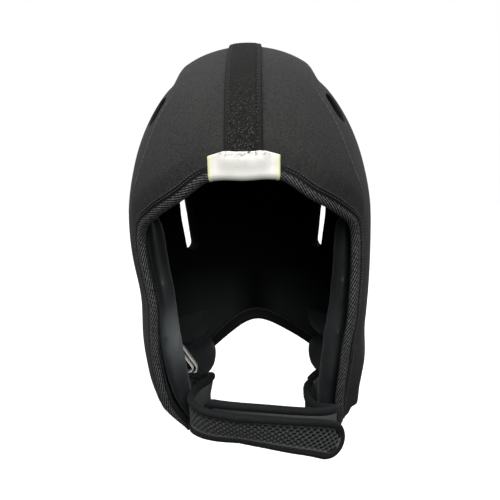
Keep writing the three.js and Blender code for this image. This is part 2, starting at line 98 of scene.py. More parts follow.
def bell(value, middle, wide):
    """A bump of 1 at the middle that falls away on both sides: exp(-t²), with t counted in widths."""
    return np.exp(-(((value - middle) / wide) ** 2))


def quarter_round(t):
    """A rounded edge: sqrt(1 - (1 - t)²), from 0 at the edge to 1 at t = 1 and beyond."""
    return np.sqrt(1 - (1 - np.clip(t, 0, 1)) ** 2)


def numbered(points):
    """A table of point numbers in the shape of a table of points."""
    return np.arange(points.shape[0] * points.shape[1]).reshape(points.shape[:2])


def keep_values(mesh, name, values):
    """Keeps a number for each point of a mesh, for a finish to read."""
    mesh.attributes.new(name, "FLOAT", "POINT").data.foreach_set("value", values.astype(np.float32))


# %% [markdown]
# ## The form
# Every piece lies on one egg: a dome over the head and a skirt that draws in towards the jaw. It could be
# sculpted, but a closed formula gives any point and its outward direction at once, for whole arrays.

# %% The egg-shaped form
CENTRE = np.array([0.0, 0.0, -115.0])
HALF_WIDTH, HALF_DEPTH, RISE, DROP = 94.0, 112.0, 127.0, 245.0
PLAN_POWER, DOME_POWER, SKIRT_POWER = 2.3, 1.97, 2.2


def unit(v):
    """A direction: v over its own length."""
    return v / np.linalg.norm(v, axis=-1, keepdims=True)


def gauge(p):
    """How far p is from the form's centre as a share of the form's own distance there, and the outward
    direction. The plan is a superellipse, (x/a)^n + (y/b)^n, and the side view another, ring^m + (z/c)^m."""
    d = p - CENTRE
    is_dome = d[..., 2] > 0
    height, m = np.where(is_dome, RISE, DROP), np.where(is_dome, DOME_POWER, SKIRT_POWER)
    u, v, w = np.abs(d[..., 0]) / HALF_WIDTH, np.abs(d[..., 1]) / HALF_DEPTH, np.abs(d[..., 2]) / height
    ring = np.maximum((u**PLAN_POWER + v**PLAN_POWER) ** (1 / PLAN_POWER), 1e-6)
    in_plan = ring ** (m - PLAN_POWER)
    slopes = [
        in_plan * u ** (PLAN_POWER - 1) / HALF_WIDTH,
        in_plan * v ** (PLAN_POWER - 1) / HALF_DEPTH,
        w ** (m - 1) / height,
    ]
    return (ring**m + w**m) ** (1 / m), unit(np.sign(d) * np.stack(slopes, -1))


def on_form(p):
    """p moved along its line from the form's centre until it lies on the form."""
    return CENTRE + (p - CENTRE) / gauge(p)[0][..., None]


def outward(p):
    """The direction square to the form at p."""
    return gauge(p)[1]


def lifted(p, height):
    """p moved outwards by height, or inwards where height is negative."""
    return p + outward(p) * np.asarray(height)[..., None]


print("form width and depth:", 2 * HALF_WIDTH, 2 * HALF_DEPTH)

# %% [markdown]
# ## The edge
# The shell is cut along one closed line: over the brow, down the cheeks, round the jaw and up to the nape.
# A few points pin it, and a Catmull-Rom curve runs through them: a cubic between each two points, whose
# slopes come from the points on either side. A Bezier curve would need its handles set by hand.

# %% The edge of the shell
EDGE = np.array(
    [
        (0, -107, -79),  # brow centre
        (24, -104, -80),  # brow flat
        (45, -98, -94.2),  # brow slope
        (64, -84, -106.8),  # brow side
        (77, -69, -120.4),  # temple
        (79, -66, -145),  # cheek top
        (77, -66, -180),  # cheek middle
        (73, -61, -214),  # cheek low
        (68, -54, -245),  # jaw front
        (65, -40, -265),  # jaw tip
        (67, -18, -272),  # jaw bottom
        (70, 10, -270),  # jaw back
        (68, 42, -262),  # neck side
        (52, 74, -250),  # neck back
        (26, 94, -236),  # nape side
        (0, 100, -227),  # nape centre
    ],
    float,
)
BROW, CHEEK_LOW, NECK_SIDE, NAPE = 0, 7, 12, 15
MIRROR = np.array([-1.0, 1.0, 1.0])
SIDES = {"right": 1, "left": MIRROR}


def spline(points, at, is_closed=False, is_centripetal=False):
    """Catmull-Rom curve: at counts spans from the first point. Each span is a cubic with end slopes from
    its neighbours. Centripetal spacing, by the root of each distance, keeps tight bends from looping."""
    if is_closed:
        line = np.vstack([points[-1:], points, points[:2]])
    else:
        line = np.vstack([2 * points[0] - points[1], points, 2 * points[-1] - points[-2]])
    i = np.clip(np.floor(at).astype(int), 0, len(line) - 4)
    t = (at - i)[:, None]
    p0, p1, p2, p3 = (line[i + k] for k in range(4))
    power = 0.5 if is_centripetal else 0.0
    d0, d1, d2 = (np.linalg.norm(b - a, axis=1)[:, None] ** power for a, b in ((p0, p1), (p1, p2), (p2, p3)))
    m1 = d1 * ((p1 - p0) / d0 - (p2 - p0) / (d0 + d1) + (p2 - p1) / d1)
    m2 = d1 * ((p2 - p1) / d1 - (p3 - p1) / (d1 + d2) + (p3 - p2) / d2)
    return p1 + m1 * t + (3 * (p2 - p1) - 2 * m1 - m2) * t**2 + (2 * (p1 - p2) + m1 + m2) * t**3


def lengths(points):
    """The distance along a line of points to each of them."""
    return np.concatenate([[0], np.cumsum(np.linalg.norm(np.diff(points, axis=0), axis=1))])


def along(points, distances):
    """The points at the given distances along a line of points."""
    total = lengths(points)
    return np.stack([np.interp(distances, total, points[:, k]) for k in range(3)], -1)


right_edge = on_form(EDGE)
EDGE_LOOP = np.vstack([right_edge, (right_edge[1:-1] * MIRROR)[::-1]])


def edge_run(from_row, to_row, count=1200):
    """The edge between two rows of its table, on the form."""
    return on_form(spline(EDGE_LOOP, np.linspace(from_row, to_row, count), is_closed=True))


half_edge = edge_run(BROW, NAPE)
HALF_EDGE = lengths(half_edge)[-1]
EDGE_PLACES = np.linspace(0, HALF_EDGE, 700)
EDGE_SAMPLES = on_form(along(half_edge, EDGE_PLACES))


def edge_near(p):
    """Each point's distance to the edge, and how far along the edge that is from the brow. Both halves are
    alike, so x counts without its sign. The nearest of the edge's samples has the least |p - e|²."""
    flat = p.reshape(-1, 3).copy()
    flat[:, 0] = np.abs(flat[:, 0])
    squares = (EDGE_SAMPLES**2).sum(1)
    parts = np.array_split(flat, 1 + len(flat) // 4000)
    nearest = np.concatenate([(squares - 2 * part @ EDGE_SAMPLES.T).argmin(1) for part in parts])
    distance = np.linalg.norm(flat - EDGE_SAMPLES[nearest], axis=1)
    return distance.reshape(p.shape[:-1]), EDGE_PLACES[nearest].reshape(p.shape[:-1])


print(f"edge: {2 * HALF_EDGE:.0f} mm round")

# %% [markdown]
# ## The padded wall
# The wall is foam between two layers of jersey, 12 mm thick, and squeezed to 4 mm where the edge is bound.
# The brow and crown panel stands a little proud, and ends in a crease in front of the vents. All of this is
# a height above or below the form at each point, so it stays a formula.

# %% Height of the wall's two faces
WALL, RIM_WALL, RIM_FADE, OUTER_SHARE = 12.0, 3.8, 22.0, 0.29
RIM_RADIUS = RIM_WALL / 2
PANEL_FADE = (75, 125)
PANEL_FLAT, PANEL_SIDE, BACK_SOFT, SIDE_SOFT = 8.0, 50.0, 2.2, 6.5
PANEL_RAISE, PANEL_SINK, RIDGE_HIGH, CREASE_DEEP = 2.4, 1.3, 0.6, 0.5
RIDGE_Z = (-125, -108, -96, -89, -82, -72, -64, -52, -42, -30, -18, 20)
RIDGE_Y = (-57, -58, -60, -63.5, -66.5, -67.5, -67, -64.8, -62.1, -57.9, -50.4, -38)
PUCKER_LONG, PUCKER_DEEP = 9.0, 0.15


def panel_rim(p):
    """How far behind the raised panel's rim p lies, and how sharply the rim shows there. The panel ends at a
    width at the top, softly, and at a depth that follows the ridge below, sharply: the first value is the
    nearer of the two edges, each counted in its own softness."""
    width = np.abs(p[..., 0])
    behind = (p[..., 1] - np.interp(p[..., 2], RIDGE_Z, RIDGE_Y)) / BACK_SOFT
    past = np.minimum(behind, (width - PANEL_SIDE) / SIDE_SOFT)
    return past, smooth(width, PANEL_SIDE - 4, PANEL_SIDE + 5) * (1 - smooth(-p[..., 2], *PANEL_FADE))


def relief(p):
    """The raised panel: a step down across its rim, with a fine ridge along the rim and a crease
    beyond it."""
    past, shows = panel_rim(p)
    raised = PANEL_RAISE * smooth(np.abs(p[..., 0]), PANEL_FLAT, PANEL_SIDE)
    panel = raised - (PANEL_SINK + raised) * smooth(past, -1, 1)
    ridge = RIDGE_HIGH * bell(past, -0.6, 0.4) - CREASE_DEEP * bell(past, 1, 0.55)
    return panel * (1 - smooth(-p[..., 2], *PANEL_FADE)) + ridge * shows


def puckers(distance, place):
    """The jersey gathers where the tape is sewn down: two waves along the edge, strongest just outside
    the tape and gone 16 mm further in."""
    turn = 2 * np.pi * place / PUCKER_LONG
    waves = np.sin(turn) + 0.6 * np.sin(turn / 1.618 + 1)
    return PUCKER_DEEP * waves * smooth(distance, 5, 11) * (1 - smooth(distance, 11, 27))


def wall(p, distance, place):
    """Heights of the outer and inner face. They draw together near the edge and meet there in a half
    round: sqrt(1 - (1 - d/r)²) over the last 2 mm."""
    away = smooth(distance, 0, RIM_FADE)
    thinning = (WALL - RIM_WALL) * (1 - away)
    outer = -OUTER_SHARE * thinning + relief(p) * away + puckers(distance, place)
    inner = -WALL + (1 - OUTER_SHARE) * thinning
    rounding = quarter_round(distance / RIM_RADIUS)
    middle, half = (outer + inner) / 2, (outer - inner) / 2 * rounding
    return middle + half, middle - half


# %% [markdown]
# ## Settling
# A soft helmet never stands quite even. On this one the left cheek is pressed in, the strap draws the left
# jaw down and towards the chin, and the right jaw leans out and turns in at its tip. One push does it all, so
# that shell, tape and pads move together and nothing tears.

# %% Settle the soft shell, and add a piece
# Each push: how far in mm, and the depths below the crown where it starts and is full
LEFT_DRAWN, LEFT_CURL, LEFT_DROP = (3.0, 235, 262), (14.0, 252, 279), (6.5, 225, 268)
RIGHT_LEAN, RIGHT_FLARE, RIGHT_TURN = (4.2, 200, 236), (1.5, 250, 266), (6.5, 185, 235)
RIGHT_DROP = (3.5, 235, 268)
CHEEK_DENT, DENT_DEPTH, DENT_LONG = 4.4, 176.0, 28.0
NECK_DRAWN, NECK_LEAN, NECK_DEPTHS = 5.5, 7.0, (205, 250)
# Each fade: where it starts and where it ends, along y for ears and neck and along x for the rest
EAR_FADE, NECK_FADE, SIDE_FADE, MIDDLE_FADE = (-10, 50), (0, 45), (40, 75), (-20, 60)
JAW_LINE, TIP_LONG = EDGE[CHEEK_LOW : CHEEK_LOW + 4], 17.0


def pushed(depth, push):
    """How far a push goes at each depth, as an S-shaped step."""
    far, start, full = push
    return far * smooth(depth, start, full)


def settled(p):
    """Points in mm pushed along x: a bell on the left cheek, S-shaped steps down the jaws that fade out
    behind the ears, and others down the neck that fade out in front of them. The right jaw's tip, near
    the edge, turns in towards the chin, and both jaws drop."""
    x, y, depth = p[..., 0], p[..., 1], -p[..., 2]
    in_front = 1 - smooth(y, *EAR_FADE)
    on_left, on_right = in_front * smooth(-x, *SIDE_FADE), in_front * smooth(x, *SIDE_FADE)
    at_tip = 1 - smooth(y - np.interp(depth, -JAW_LINE[:, 2], JAW_LINE[:, 1]), 0, TIP_LONG)
    left = CHEEK_DENT * bell(depth, DENT_DEPTH, DENT_LONG)
    left = left + pushed(depth, LEFT_DRAWN) + pushed(depth, LEFT_CURL)
    right = pushed(depth, RIGHT_LEAN) + pushed(depth, RIGHT_FLARE) - pushed(depth, RIGHT_TURN) * at_tip
    neck = NECK_DRAWN * smooth(-x, *MIDDLE_FADE) + NECK_LEAN * smooth(x, *MIDDLE_FADE)
    neck = neck * smooth(y, *NECK_FADE) * smooth(depth, *NECK_DEPTHS)
    drop = pushed(depth, LEFT_DROP) * on_left + pushed(depth, RIGHT_DROP) * on_right
    return p + np.stack([left * on_left + right * on_right + neck, 0 * x, -drop], -1)


def add_piece(mesh, material, slot, *nodes, settles=True):
    """Puts a mesh on the helmet as a piece of the same name that stands for the named CAD nodes."""
    piece = bpy.data.objects.new(mesh.name, mesh)
    bpy.context.scene.collection.objects.link(piece)
    if settles:
        points = np.empty(len(mesh.vertices) * 3, np.float32)
        mesh.vertices.foreach_get("co", points)
        moved = settled(points.reshape(-1, 3) / MM) * MM
        mesh.vertices.foreach_set("co", moved.astype(np.float32).ravel())
        mesh.update()
    mesh.materials.append(material)
    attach(piece, "root")
    if nodes:
        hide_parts(*nodes)
    print(f"{mesh.name}: {len(mesh.polygons)} faces")
    return piece


# %% [markdown]
# ## Finishes
# A material is a small network of nodes. One function adds a node, sets it and links it, and every finish
# below is written with it and with short forms of it for the kinds that come up again and again. Colours are
# given as sRGB hex and turned to the linear light that shaders use.

# %% Node and colour helpers
def node(tree, kind, inputs=None, **settings):
    """Adds one node: settings go on the node, inputs on its sockets, as values or as links."""
    made = tree.nodes.new(kind)
    for name, value in settings.items():
        setattr(made, name, value)
    for name, value in (inputs or {}).items():
        if isinstance(value, bpy.types.NodeSocket):
            tree.links.new(value, made.inputs[name])
        else:
            made.inputs[name].default_value = value
    return made


def linear(hex_code):
    """sRGB hex to linear: c/12.92 for the darkest values, and ((c + 0.055)/1.055)^2.4 for the rest."""
    srgb = np.array([int(hex_code[k : k + 2], 16) for k in (1, 3, 5)]) / 255
    light = np.where(srgb <= 0.04045, srgb / 12.92, ((srgb + 0.055) / 1.055) ** 2.4)
    return (*light.tolist(), 1.0)


def new_finish(name):
    """An empty material and its node tree."""
    material = bpy.data.materials.new(name)
    material.use_nodes = True
    material.node_tree.nodes.clear()
    return material, material.node_tree


def object_place(tree):
    """A link to each point's place on the object, in metres."""
    return node(tree, "ShaderNodeTexCoord").outputs["Object"]


def cloth_place(tree):
    """A link to each point's place on the flat cloth, in millimetres."""
    return node(tree, "ShaderNodeUVMap", uv_map="cloth_mm").outputs[0]


def kept_value(tree, name):
    """A link to a number that the mesh keeps for each point."""
    return node(tree, "ShaderNodeAttribute", attribute_name=name).outputs["Fac"]


def arithmetic(tree, operation, *values):
    """The result of an operation on numbers or links."""
    return node(tree, "ShaderNodeMath", dict(enumerate(values)), operation=operation).outputs[0]


def ranged(tree, value, low, high, to_low=0.0, to_high=1.0):
    """A value from low to high turned into one from to_low to to_high, and held there beyond them."""
    limits = {"From Min": low, "From Max": high, "To Min": to_low, "To Max": to_high}
    return node(tree, "ShaderNodeMapRange", {"Value": value} | limits).outputs[0]


def mixed(tree, share, first, second):
    """Two colours blended by a share. Each is an sRGB hex code or a link."""
    first, second = (linear(colour) if isinstance(colour, str) else colour for colour in (first, second))
    return node(tree, "ShaderNodeMix", {0: share, 6: first, 7: second}, data_type="RGBA").outputs[2]


def per_metre(size_mm):
    """How many times a pattern of that size repeats in a metre, which is what a texture's scale says."""
    return 1000 / size_mm


def wave_scale(pitch):
    """A wave texture's bands are 2π/20 apart at scale 1; over the pitch, that puts them one pitch apart."""
    return 2 * np.pi / 20 / pitch


def noise(tree, here, size_mm, detail, roughness=0.5):
    """A soft random shade with patches of about that size."""
    grain = {"Vector": here, "Scale": per_metre(size_mm), "Detail": detail, "Roughness": roughness}
    return node(tree, "ShaderNodeTexNoise", grain).outputs["Fac"]


def surfaced(tree, looks, height=None, strength=0.0, deep_mm=0.0):
    """Ends a finish with its surface. A height gives it a fine grain, deep_mm deep, by bump."""
    if height is not None:
        bump = {"Height": height, "Strength": strength, "Distance": deep_mm * MM}
        looks = looks | {"Normal": node(tree, "ShaderNodeBump", bump).outputs[0]}
    surface = node(tree, "ShaderNodeBsdfPrincipled", looks)
    node(tree, "ShaderNodeOutputMaterial", {"Surface": surface.outputs[0]})


# %% [markdown]
# The shell's cover is a brushed polyester stretch jersey. Its loops are 0.4 mm and too fine to show here,
# so the grain is drawn at about 1 mm. The brushed face has no gloss, only a soft sheen where it curves away,
# slow changes of shade where hands have rubbed it, and a few specks of lint.

# %% Brushed stretch jersey, for the shell
brushed_jersey, tree = new_finish("brushed_stretch_jersey")
here = object_place(tree)
inside, rim, rim_shows = (kept_value(tree, name) for name in ("lining", "rim", "rim_shows"))
grain, wear_and_highlight = noise(tree, here, 1.1, 2.0), noise(tree, here, 38, 3.0, 0.6)
shade = arithmetic(tree, "MULTIPLY_ADD", wear_and_highlight, 0.3, grain)
cloth = mixed(tree, ranged(tree, shade, 0.45, 0.85), "#282828", "#3a3a39")
lint = node(tree, "ShaderNodeTexVoronoi", {"Vector": here, "Scale": per_metre(17)}, feature="F1")
dusty = mixed(tree, ranged(tree, lint.outputs["Distance"], 0.05, 0.035, 0.0, 0.5), cloth, "#77756f")
# A pale line 1 mm wide is painted along the panel's rim: a painted highlight on its ridge
beside = arithmetic(tree, "ABSOLUTE", arithmetic(tree, "ADD", rim, 0.5))
line = arithmetic(tree, "MULTIPLY", ranged(tree, beside, 0.4, 0.1, 0.0, 0.5), rim_shows)
with_painted_highlight = mixed(tree, line, dusty, "#72716c")
# Inside, the wall is lined with a dull black tricot that gives little light back. Low at the back, on
# either side of the middle, it is painted paler: painted light where light through the face opening falls
spot = node(tree, "ShaderNodeSeparateXYZ", {0: here})
low = ranged(tree, spot.outputs["Z"], -0.175, -0.24)
aside = ranged(tree, arithmetic(tree, "ABSOLUTE", spot.outputs["X"]), 0.003, 0.022)
lining_painted_light_low = mixed(tree, arithmetic(tree, "MULTIPLY", low, aside), "#0d0e0e", "#2d3131")
looks = {
    "Base Color": mixed(tree, inside, with_painted_highlight, lining_painted_light_low),
    "Roughness": 0.85,
    "Specular IOR Level": ranged(tree, inside, 0.0, 1.0, 0.12, 0.02),
    "Sheen Weight": ranged(tree, inside, 0.0, 1.0, 0.06, 0.0),
    "Sheen Roughness": 0.5,
    "Sheen Tint": linear("#b9bcc0"),
}
surfaced(tree, looks, grain, 0.4, 0.4)

# %% [markdown]
# ## The half shells
# Each half is one patch between four lines: the crown seam, the front edge, the jaw and the back edge. A
# Coons patch fills such a frame: it adds the two ways of blending opposite sides and takes away the blend of
# the corners. Set onto the form, it gives an even net. A subdivided cage could do it too, but this one
# keeps rows exactly along the edge, where the tape goes.

# %% A net over the right half
RIM_STEPS = np.array([0, 0.4, 1.0, 1.9, 3.0, 4.6, 6.6])
ROW_LONG, COLUMN_LONG, PAST_RIM = 260, 200, 9
ROW_POINTS, COLUMN_POINTS = 200, 165
SEAM_HALF_GAP = 0.02
middle = np.linspace(PAST_RIM, ROW_LONG - PAST_RIM, ROW_POINTS)
row_shares = np.concatenate([RIM_STEPS, middle, ROW_LONG - RIM_STEPS[::-1]]) / ROW_LONG
middle = np.linspace(0, COLUMN_LONG - PAST_RIM, COLUMN_POINTS)
column_shares = np.concatenate([middle, COLUMN_LONG - RIM_STEPS[::-1]]) / COLUMN_LONG


def evened(line, shares):
    """The points at those shares of a line's length, set back onto the form."""
    return on_form(along(line, np.asarray(shares) * lengths(line)[-1]))


def crown_line():
    """The form's middle line from brow to nape, by its angle about the form's centre."""
    turns = [np.arctan2(right_edge[k, 2] - CENTRE[2], -right_edge[k, 1]) for k in (BROW, NAPE)]
    angle = np.linspace(turns[0], turns[1] + 2 * np.pi, 900)
    return on_form(CENTRE + np.stack([0 * angle, -np.cos(angle), np.sin(angle)], -1))


def half_net(s, t):
    """Coons patch at row shares s and column shares t: (1-t) crown + t jaw + (1-s) front + s back, less the
    corners blended both ways."""
    crown, jaw = evened(crown_line(), s), evened(edge_run(CHEEK_LOW, NECK_SIDE), s)
    front, back = evened(edge_run(BROW, CHEEK_LOW), t), evened(edge_run(NAPE, NECK_SIDE), t)
    s, t = s[None, :, None], t[:, None, None]
    sides = (1 - t) * crown + t * jaw + (1 - s) * front[:, None] + s * back[:, None]
    corners = (1 - t) * ((1 - s) * crown[0] + s * crown[-1]) + t * ((1 - s) * jaw[0] + s * jaw[-1])
    return on_form(sides - corners)


net = half_net(row_shares, column_shares)
print("net:", net.shape[0], "by", net.shape[1], "points")

# %% [markdown]
# Two slots go through each half: a vent behind the brow panel and a tall one behind the ear. A Boolean
# would cut them, but leaves a hard rim. Here a block of the net is left out, and a ring of rows takes its
# place: from the block's border in to the slot, over a rounded lip, through the wall and out again.

# %% Rings of rows round the slots
SLOTS = {
    "vent": dict(at=(68, -38, -34.3), along=(7, -6, -17), long=24.5, wide=18.0, lip=1.6),
    "ear_slot": dict(at=(64, 82, -128), along=(0.1, -0.1, 1), long=62.0, wide=14.0, lip=2.6),
}
LIP_SHARES = np.array([0, 0.07, 0.22, 0.5, 1])
BEYOND_LIP = np.linspace(0.04, 0.96, 16)
BORDER = 7.0


def slot_frame(slot):
    """The slot's middle on the form, and its directions along and across, square to the wall there."""
    centre = on_form(np.array(slot["at"], float))
    normal = outward(centre)
    forward = np.array(slot["along"], float)
    forward = unit(forward - normal * (forward @ normal))
    return centre, np.stack([forward, np.cross(normal, forward)])


def slot_rim(ab, slot):
    """Where the ray from the slot's middle through each point ab meets its outline: a straight side at
    r/|sine|, or a round end at h|cosine| + sqrt(r² - h² sine²)."""
    radius = slot["wide"] / 2
    straight = slot["long"] / 2 - radius
    ray = unit(ab)
    cosine, sine = np.abs(ray[:, 0]), np.maximum(np.abs(ray[:, 1]), 1e-9)
    side = radius / sine
    end = straight * cosine + np.sqrt(np.maximum(radius**2 - (straight * sine) ** 2, 0))
    return ray * np.where(side * cosine <= straight, side, end)[:, None]


def slot_ring(slot):
    """The block of the net that the slot takes, and rings of points from its border through the wall."""
    centre, axes = slot_frame(slot)
    ab = (net - centre) @ axes.T
    straight = (slot["long"] - slot["wide"]) / 2
    beyond = np.hypot(np.maximum(np.abs(ab[..., 0]) - straight, 0), ab[..., 1]) - slot["wide"] / 2
    near = (beyond < BORDER) & (np.linalg.norm(net - centre, axis=-1) < slot["long"])
    rows, columns = np.flatnonzero(near.any(1)), np.flatnonzero(near.any(0))
    j0, j1, i0, i1 = rows[0], rows[-1], columns[0], columns[-1]
    across, down = np.arange(i0, i1), np.arange(j0, j1)
    loop_i = np.concatenate([across, np.full(j1 - j0, i1), across[::-1] + 1, np.full(j1 - j0, i0)])
    loop_j = np.concatenate([np.full(i1 - i0, j0), down, np.full(i1 - i0, j1), down[::-1] + 1])
    border = net[loop_j, loop_i]
    rim = slot_rim(ab[loop_j, loop_i], slot)
    lip = slot["lip"]
    rings = []
    for is_inner in (False, True):
        level = (lambda p: np.full(p.shape[:-1], -WALL)) if is_inner else relief
        start = on_form(centre + rim @ axes)
        for _ in range(6):
            miss = rim - (lifted(start, level(start)) - centre) @ axes.T
            start = on_form(start + miss @ axes)
        reach = np.linalg.norm(border - start, axis=1)
        steps = [np.full_like(reach, lip * share) for share in LIP_SHARES]
        steps += [lip + (reach - lip) * share for share in BEYOND_LIP]
        for step in steps:
            p = on_form(start + (border - start) * (step / reach)[:, None])
            drop = lip - np.sqrt(lip**2 - (lip - np.minimum(step, lip)) ** 2)
            rings.append(lifted(p, level(p) + drop if is_inner else level(p) - drop))
    count = len(LIP_SHARES) + len(BEYOND_LIP)
    outer, inner = rings[:count][::-1], rings[count:]
    through = [outer[-1] + (inner[0] - outer[-1]) * share for share in (0.25, 0.5, 0.75)]
    return (j0, j1, i0, i1), (loop_j, loop_i), np.stack(outer + through + inner)


slot_rings = {name: slot_ring(slot) for name, slot in SLOTS.items()}
print({name: ring[2].shape[:2] for name, ring in slot_rings.items()})

# %% Join skins, rim, seam and slots into one closed half
net_rows, net_columns = net.shape[:2]
is_rim = np.zeros((net_rows, net_columns), bool)
is_rim[:, [0, -1]] = True
is_rim[-1] = True
edge_distance, edge_place = edge_near(net)
edge_distance[is_rim] = 0
outer_height, inner_height = wall(net, edge_distance, edge_place)
outer_skin, inner_skin = lifted(net, outer_height), lifted(net, inner_height)
outer_skin[0, :, 0] = SEAM_HALF_GAP
inner_skin[0, :, 0] = SEAM_HALF_GAP
outer_ids = numbered(net)
inner_ids = outer_ids.copy()
inner_ids[~is_rim] = net_rows * net_columns + np.arange((~is_rim).sum())
shell_points = [outer_skin.reshape(-1, 3), inner_skin[~is_rim]]
lining = [np.zeros(len(shell_points[0])), np.ones(len(shell_points[1]))]
is_cut = np.zeros((net_rows - 1, net_columns - 1), bool)
ring_faces = []
for (j0, j1, i0, i1), loop, rings in slot_rings.values():
    is_cut[j0:j1, i0:i1] = True
    first = sum(len(part) for part in shell_points)
    ring_ids = np.vstack([outer_ids[loop], first + numbered(rings), inner_ids[loop]])
    ring_faces.append(grid_faces(ring_ids, close_columns=True))
    shell_points.append(rings.reshape(-1, 3))
    lining.append(np.repeat(smooth(np.arange(len(rings)), len(BEYOND_LIP), len(rings) / 2), rings.shape[1]))
kept = ~is_cut.ravel()
skins = [grid_faces(outer_ids)[kept], grid_faces(inner_ids)[kept][:, ::-1]]
seam = grid_faces(np.stack([inner_ids[0, 1:-1], outer_ids[0, 1:-1]]))
seam_ends = np.array(
    [
        (outer_ids[0, 0], inner_ids[0, 1], outer_ids[0, 1]),
        (outer_ids[0, -1], outer_ids[0, -2], inner_ids[0, -2]),
    ]
)
shell_points = np.concatenate(shell_points)
shell_faces = np.concatenate([*skins, seam, *ring_faces])
used, renumbered = np.unique(np.concatenate([shell_faces.ravel(), seam_ends.ravel()]), return_inverse=True)
shell_points, lining = shell_points[used], np.concatenate(lining)[used]
rim_past, rim_shows = panel_rim(on_form(shell_points))
shell_quads = renumbered[: shell_faces.size].reshape(-1, 4)
shell_triangles = renumbered[shell_faces.size :].reshape(-1, 3)

# %% The two half shells
for side, turn in SIDES.items():
    mesh = mesh_from(f"shell_{side}_cover", shell_points * turn, [shell_quads, shell_triangles])
    for name, values in (("lining", lining), ("rim", rim_past), ("rim_shows", rim_shows)):
        keep_values(mesh, name, values)
    half = add_piece(mesh, brushed_jersey, "shell_jersey", f"shell_{side}")

# %% [markdown]
# ## Stitches
# The helmet is sewn with a black polyester thread. A curve with instances could make the stitches, but an
# array does it in one step: one small bar with rounded ends, placed many times by its own three directions.

# %% Many stitches as one mesh
STITCH_WIDE = 0.7


def thread_finish(name, dark, light):
    """Polyester thread: two plies 0.5 mm apart catch the light in turn. The twist itself is too fine to show,
    so it is drawn at 0.9 mm."""
    material, tree = new_finish(name)
    yarn = mixed(tree, noise(tree, object_place(tree), 0.9, 1.0), dark, light)
    surfaced(tree, {"Base Color": yarn, "Roughness": 0.5, "Specular IOR Level": 0.4})
    return material


sewing_thread = thread_finish("polyester_sewing_thread", "#0d0e0e", "#2b2c2d")
# The tape's stitches use a paler copy of the same thread: a painted highlight along the tape
pale_painted_thread = thread_finish("polyester_thread_painted_pale", "#1f2021", "#5a5b5e")


def sew(name, rows, long, thread, slot, settles=True):
    """Adds bars at the places of all rows, each row with its places, directions along and directions out.
    A bar is 4 rings of 6 points, of radius w/2·sqrt(1 - 0.9t²) at t along it, flattened towards the cloth and
    arched a little away from it."""
    at, forward, out = (np.concatenate(parts) for parts in zip(*rows))
    t = np.linspace(-1, 1, 4)[None, :, None, None]
    angle = np.linspace(0, 2 * np.pi, 6, endpoint=False)[None, None, :, None]
    forward, out = unit(forward)[:, None, None], unit(out)[:, None, None]
    side = np.cross(out, forward)
    radius = STITCH_WIDE / 2 * np.sqrt(1 - 0.9 * t**2)
    arch = 0.2 * STITCH_WIDE * (1 - t**2)
    section = side * np.cos(angle) * radius + out * (np.sin(angle) * radius * 0.75 + arch)
    points = at[:, None, None] + forward * t * long / 2 + section
    ids = np.arange(points.shape[0] * 24).reshape(-1, 4, 6)
    turned = np.roll(ids, -1, axis=2)
    walls = [np.stack([ids[:, k], turned[:, k], turned[:, k + 1], ids[:, k + 1]], -1) for k in range(3)]
    walls = [quads.reshape(-1, 4) for quads in walls]
    ends = [ids[:, k][:, corner] for k in (0, 3) for corner in ((0, 1, 2, 3), (0, 3, 4, 5))]
    mesh = mesh_from(name, points.reshape(-1, 3), [np.concatenate(walls + ends)])
    return add_piece(mesh, thread, slot, settles=settles)


# %% [markdown]
# ## The edge binding
# A black twill tape is folded over the whole edge and sewn through. Its section is two lips joined by a half
# round, carried along the edge. The twill's ribs run nearly along it, 22 degrees askew, and are real ridges
# here, because they show along the brow and cheeks; they stand 1.5 mm apart, a little coarser than real.

# %% Black twill
RIB_PITCH, RIB_HIGH, RIB_SLANT = 4.0, 0.24, -2.5
FLOAT_LONG, BORDER_WIDE = 3.3, 4.0
OUTER_LIP, INNER_LIP, BINDING_THICK, BINDING_CLEAR = 8.2, 10.0, 1.0, 0.4
RIBS_FROM = RIM_RADIUS - OUTER_LIP + BORDER_WIDE
FOLD_SHADE_FADE = (7.6, 5.4)
binding_twill, tree = new_finish("polyester_twill_tape")
here, flat_cloth = object_place(tree), cloth_place(tree)


def slanted_bands(slant, pitch, distortion):
    """Bands across the tape's length, one pitch apart, that lean by the slant."""
    lean = node(tree, "ShaderNodeVectorMath", {0: flat_cloth, 1: (1.0, slant, 0.0)}, operation="DOT_PRODUCT")
    line = node(tree, "ShaderNodeCombineXYZ", {0: lean.outputs["Value"]}).outputs[0]
    size = {"Vector": line, "Scale": wave_scale(pitch), "Distortion": distortion, "Detail": 1.0}
    return node(tree, "ShaderNodeTexWave", size).outputs["Fac"]


# Each rib is a row of floats: short yarns that dive under the next one, which breaks the rib up. The
# crests are painted pale, partly as wear and partly as painted highlight
ribs, floats = slanted_bands(RIB_SLANT, RIB_PITCH, 0.4), slanted_bands(0.6, FLOAT_LONG, 2.0)
broken = arithmetic(tree, "MULTIPLY", ribs, ranged(tree, floats, 0.0, 1.0, 0.72, 1.0))
crest = arithmetic(tree, "MULTIPLY", broken, noise(tree, here, 2.2, 3.0, 0.7))
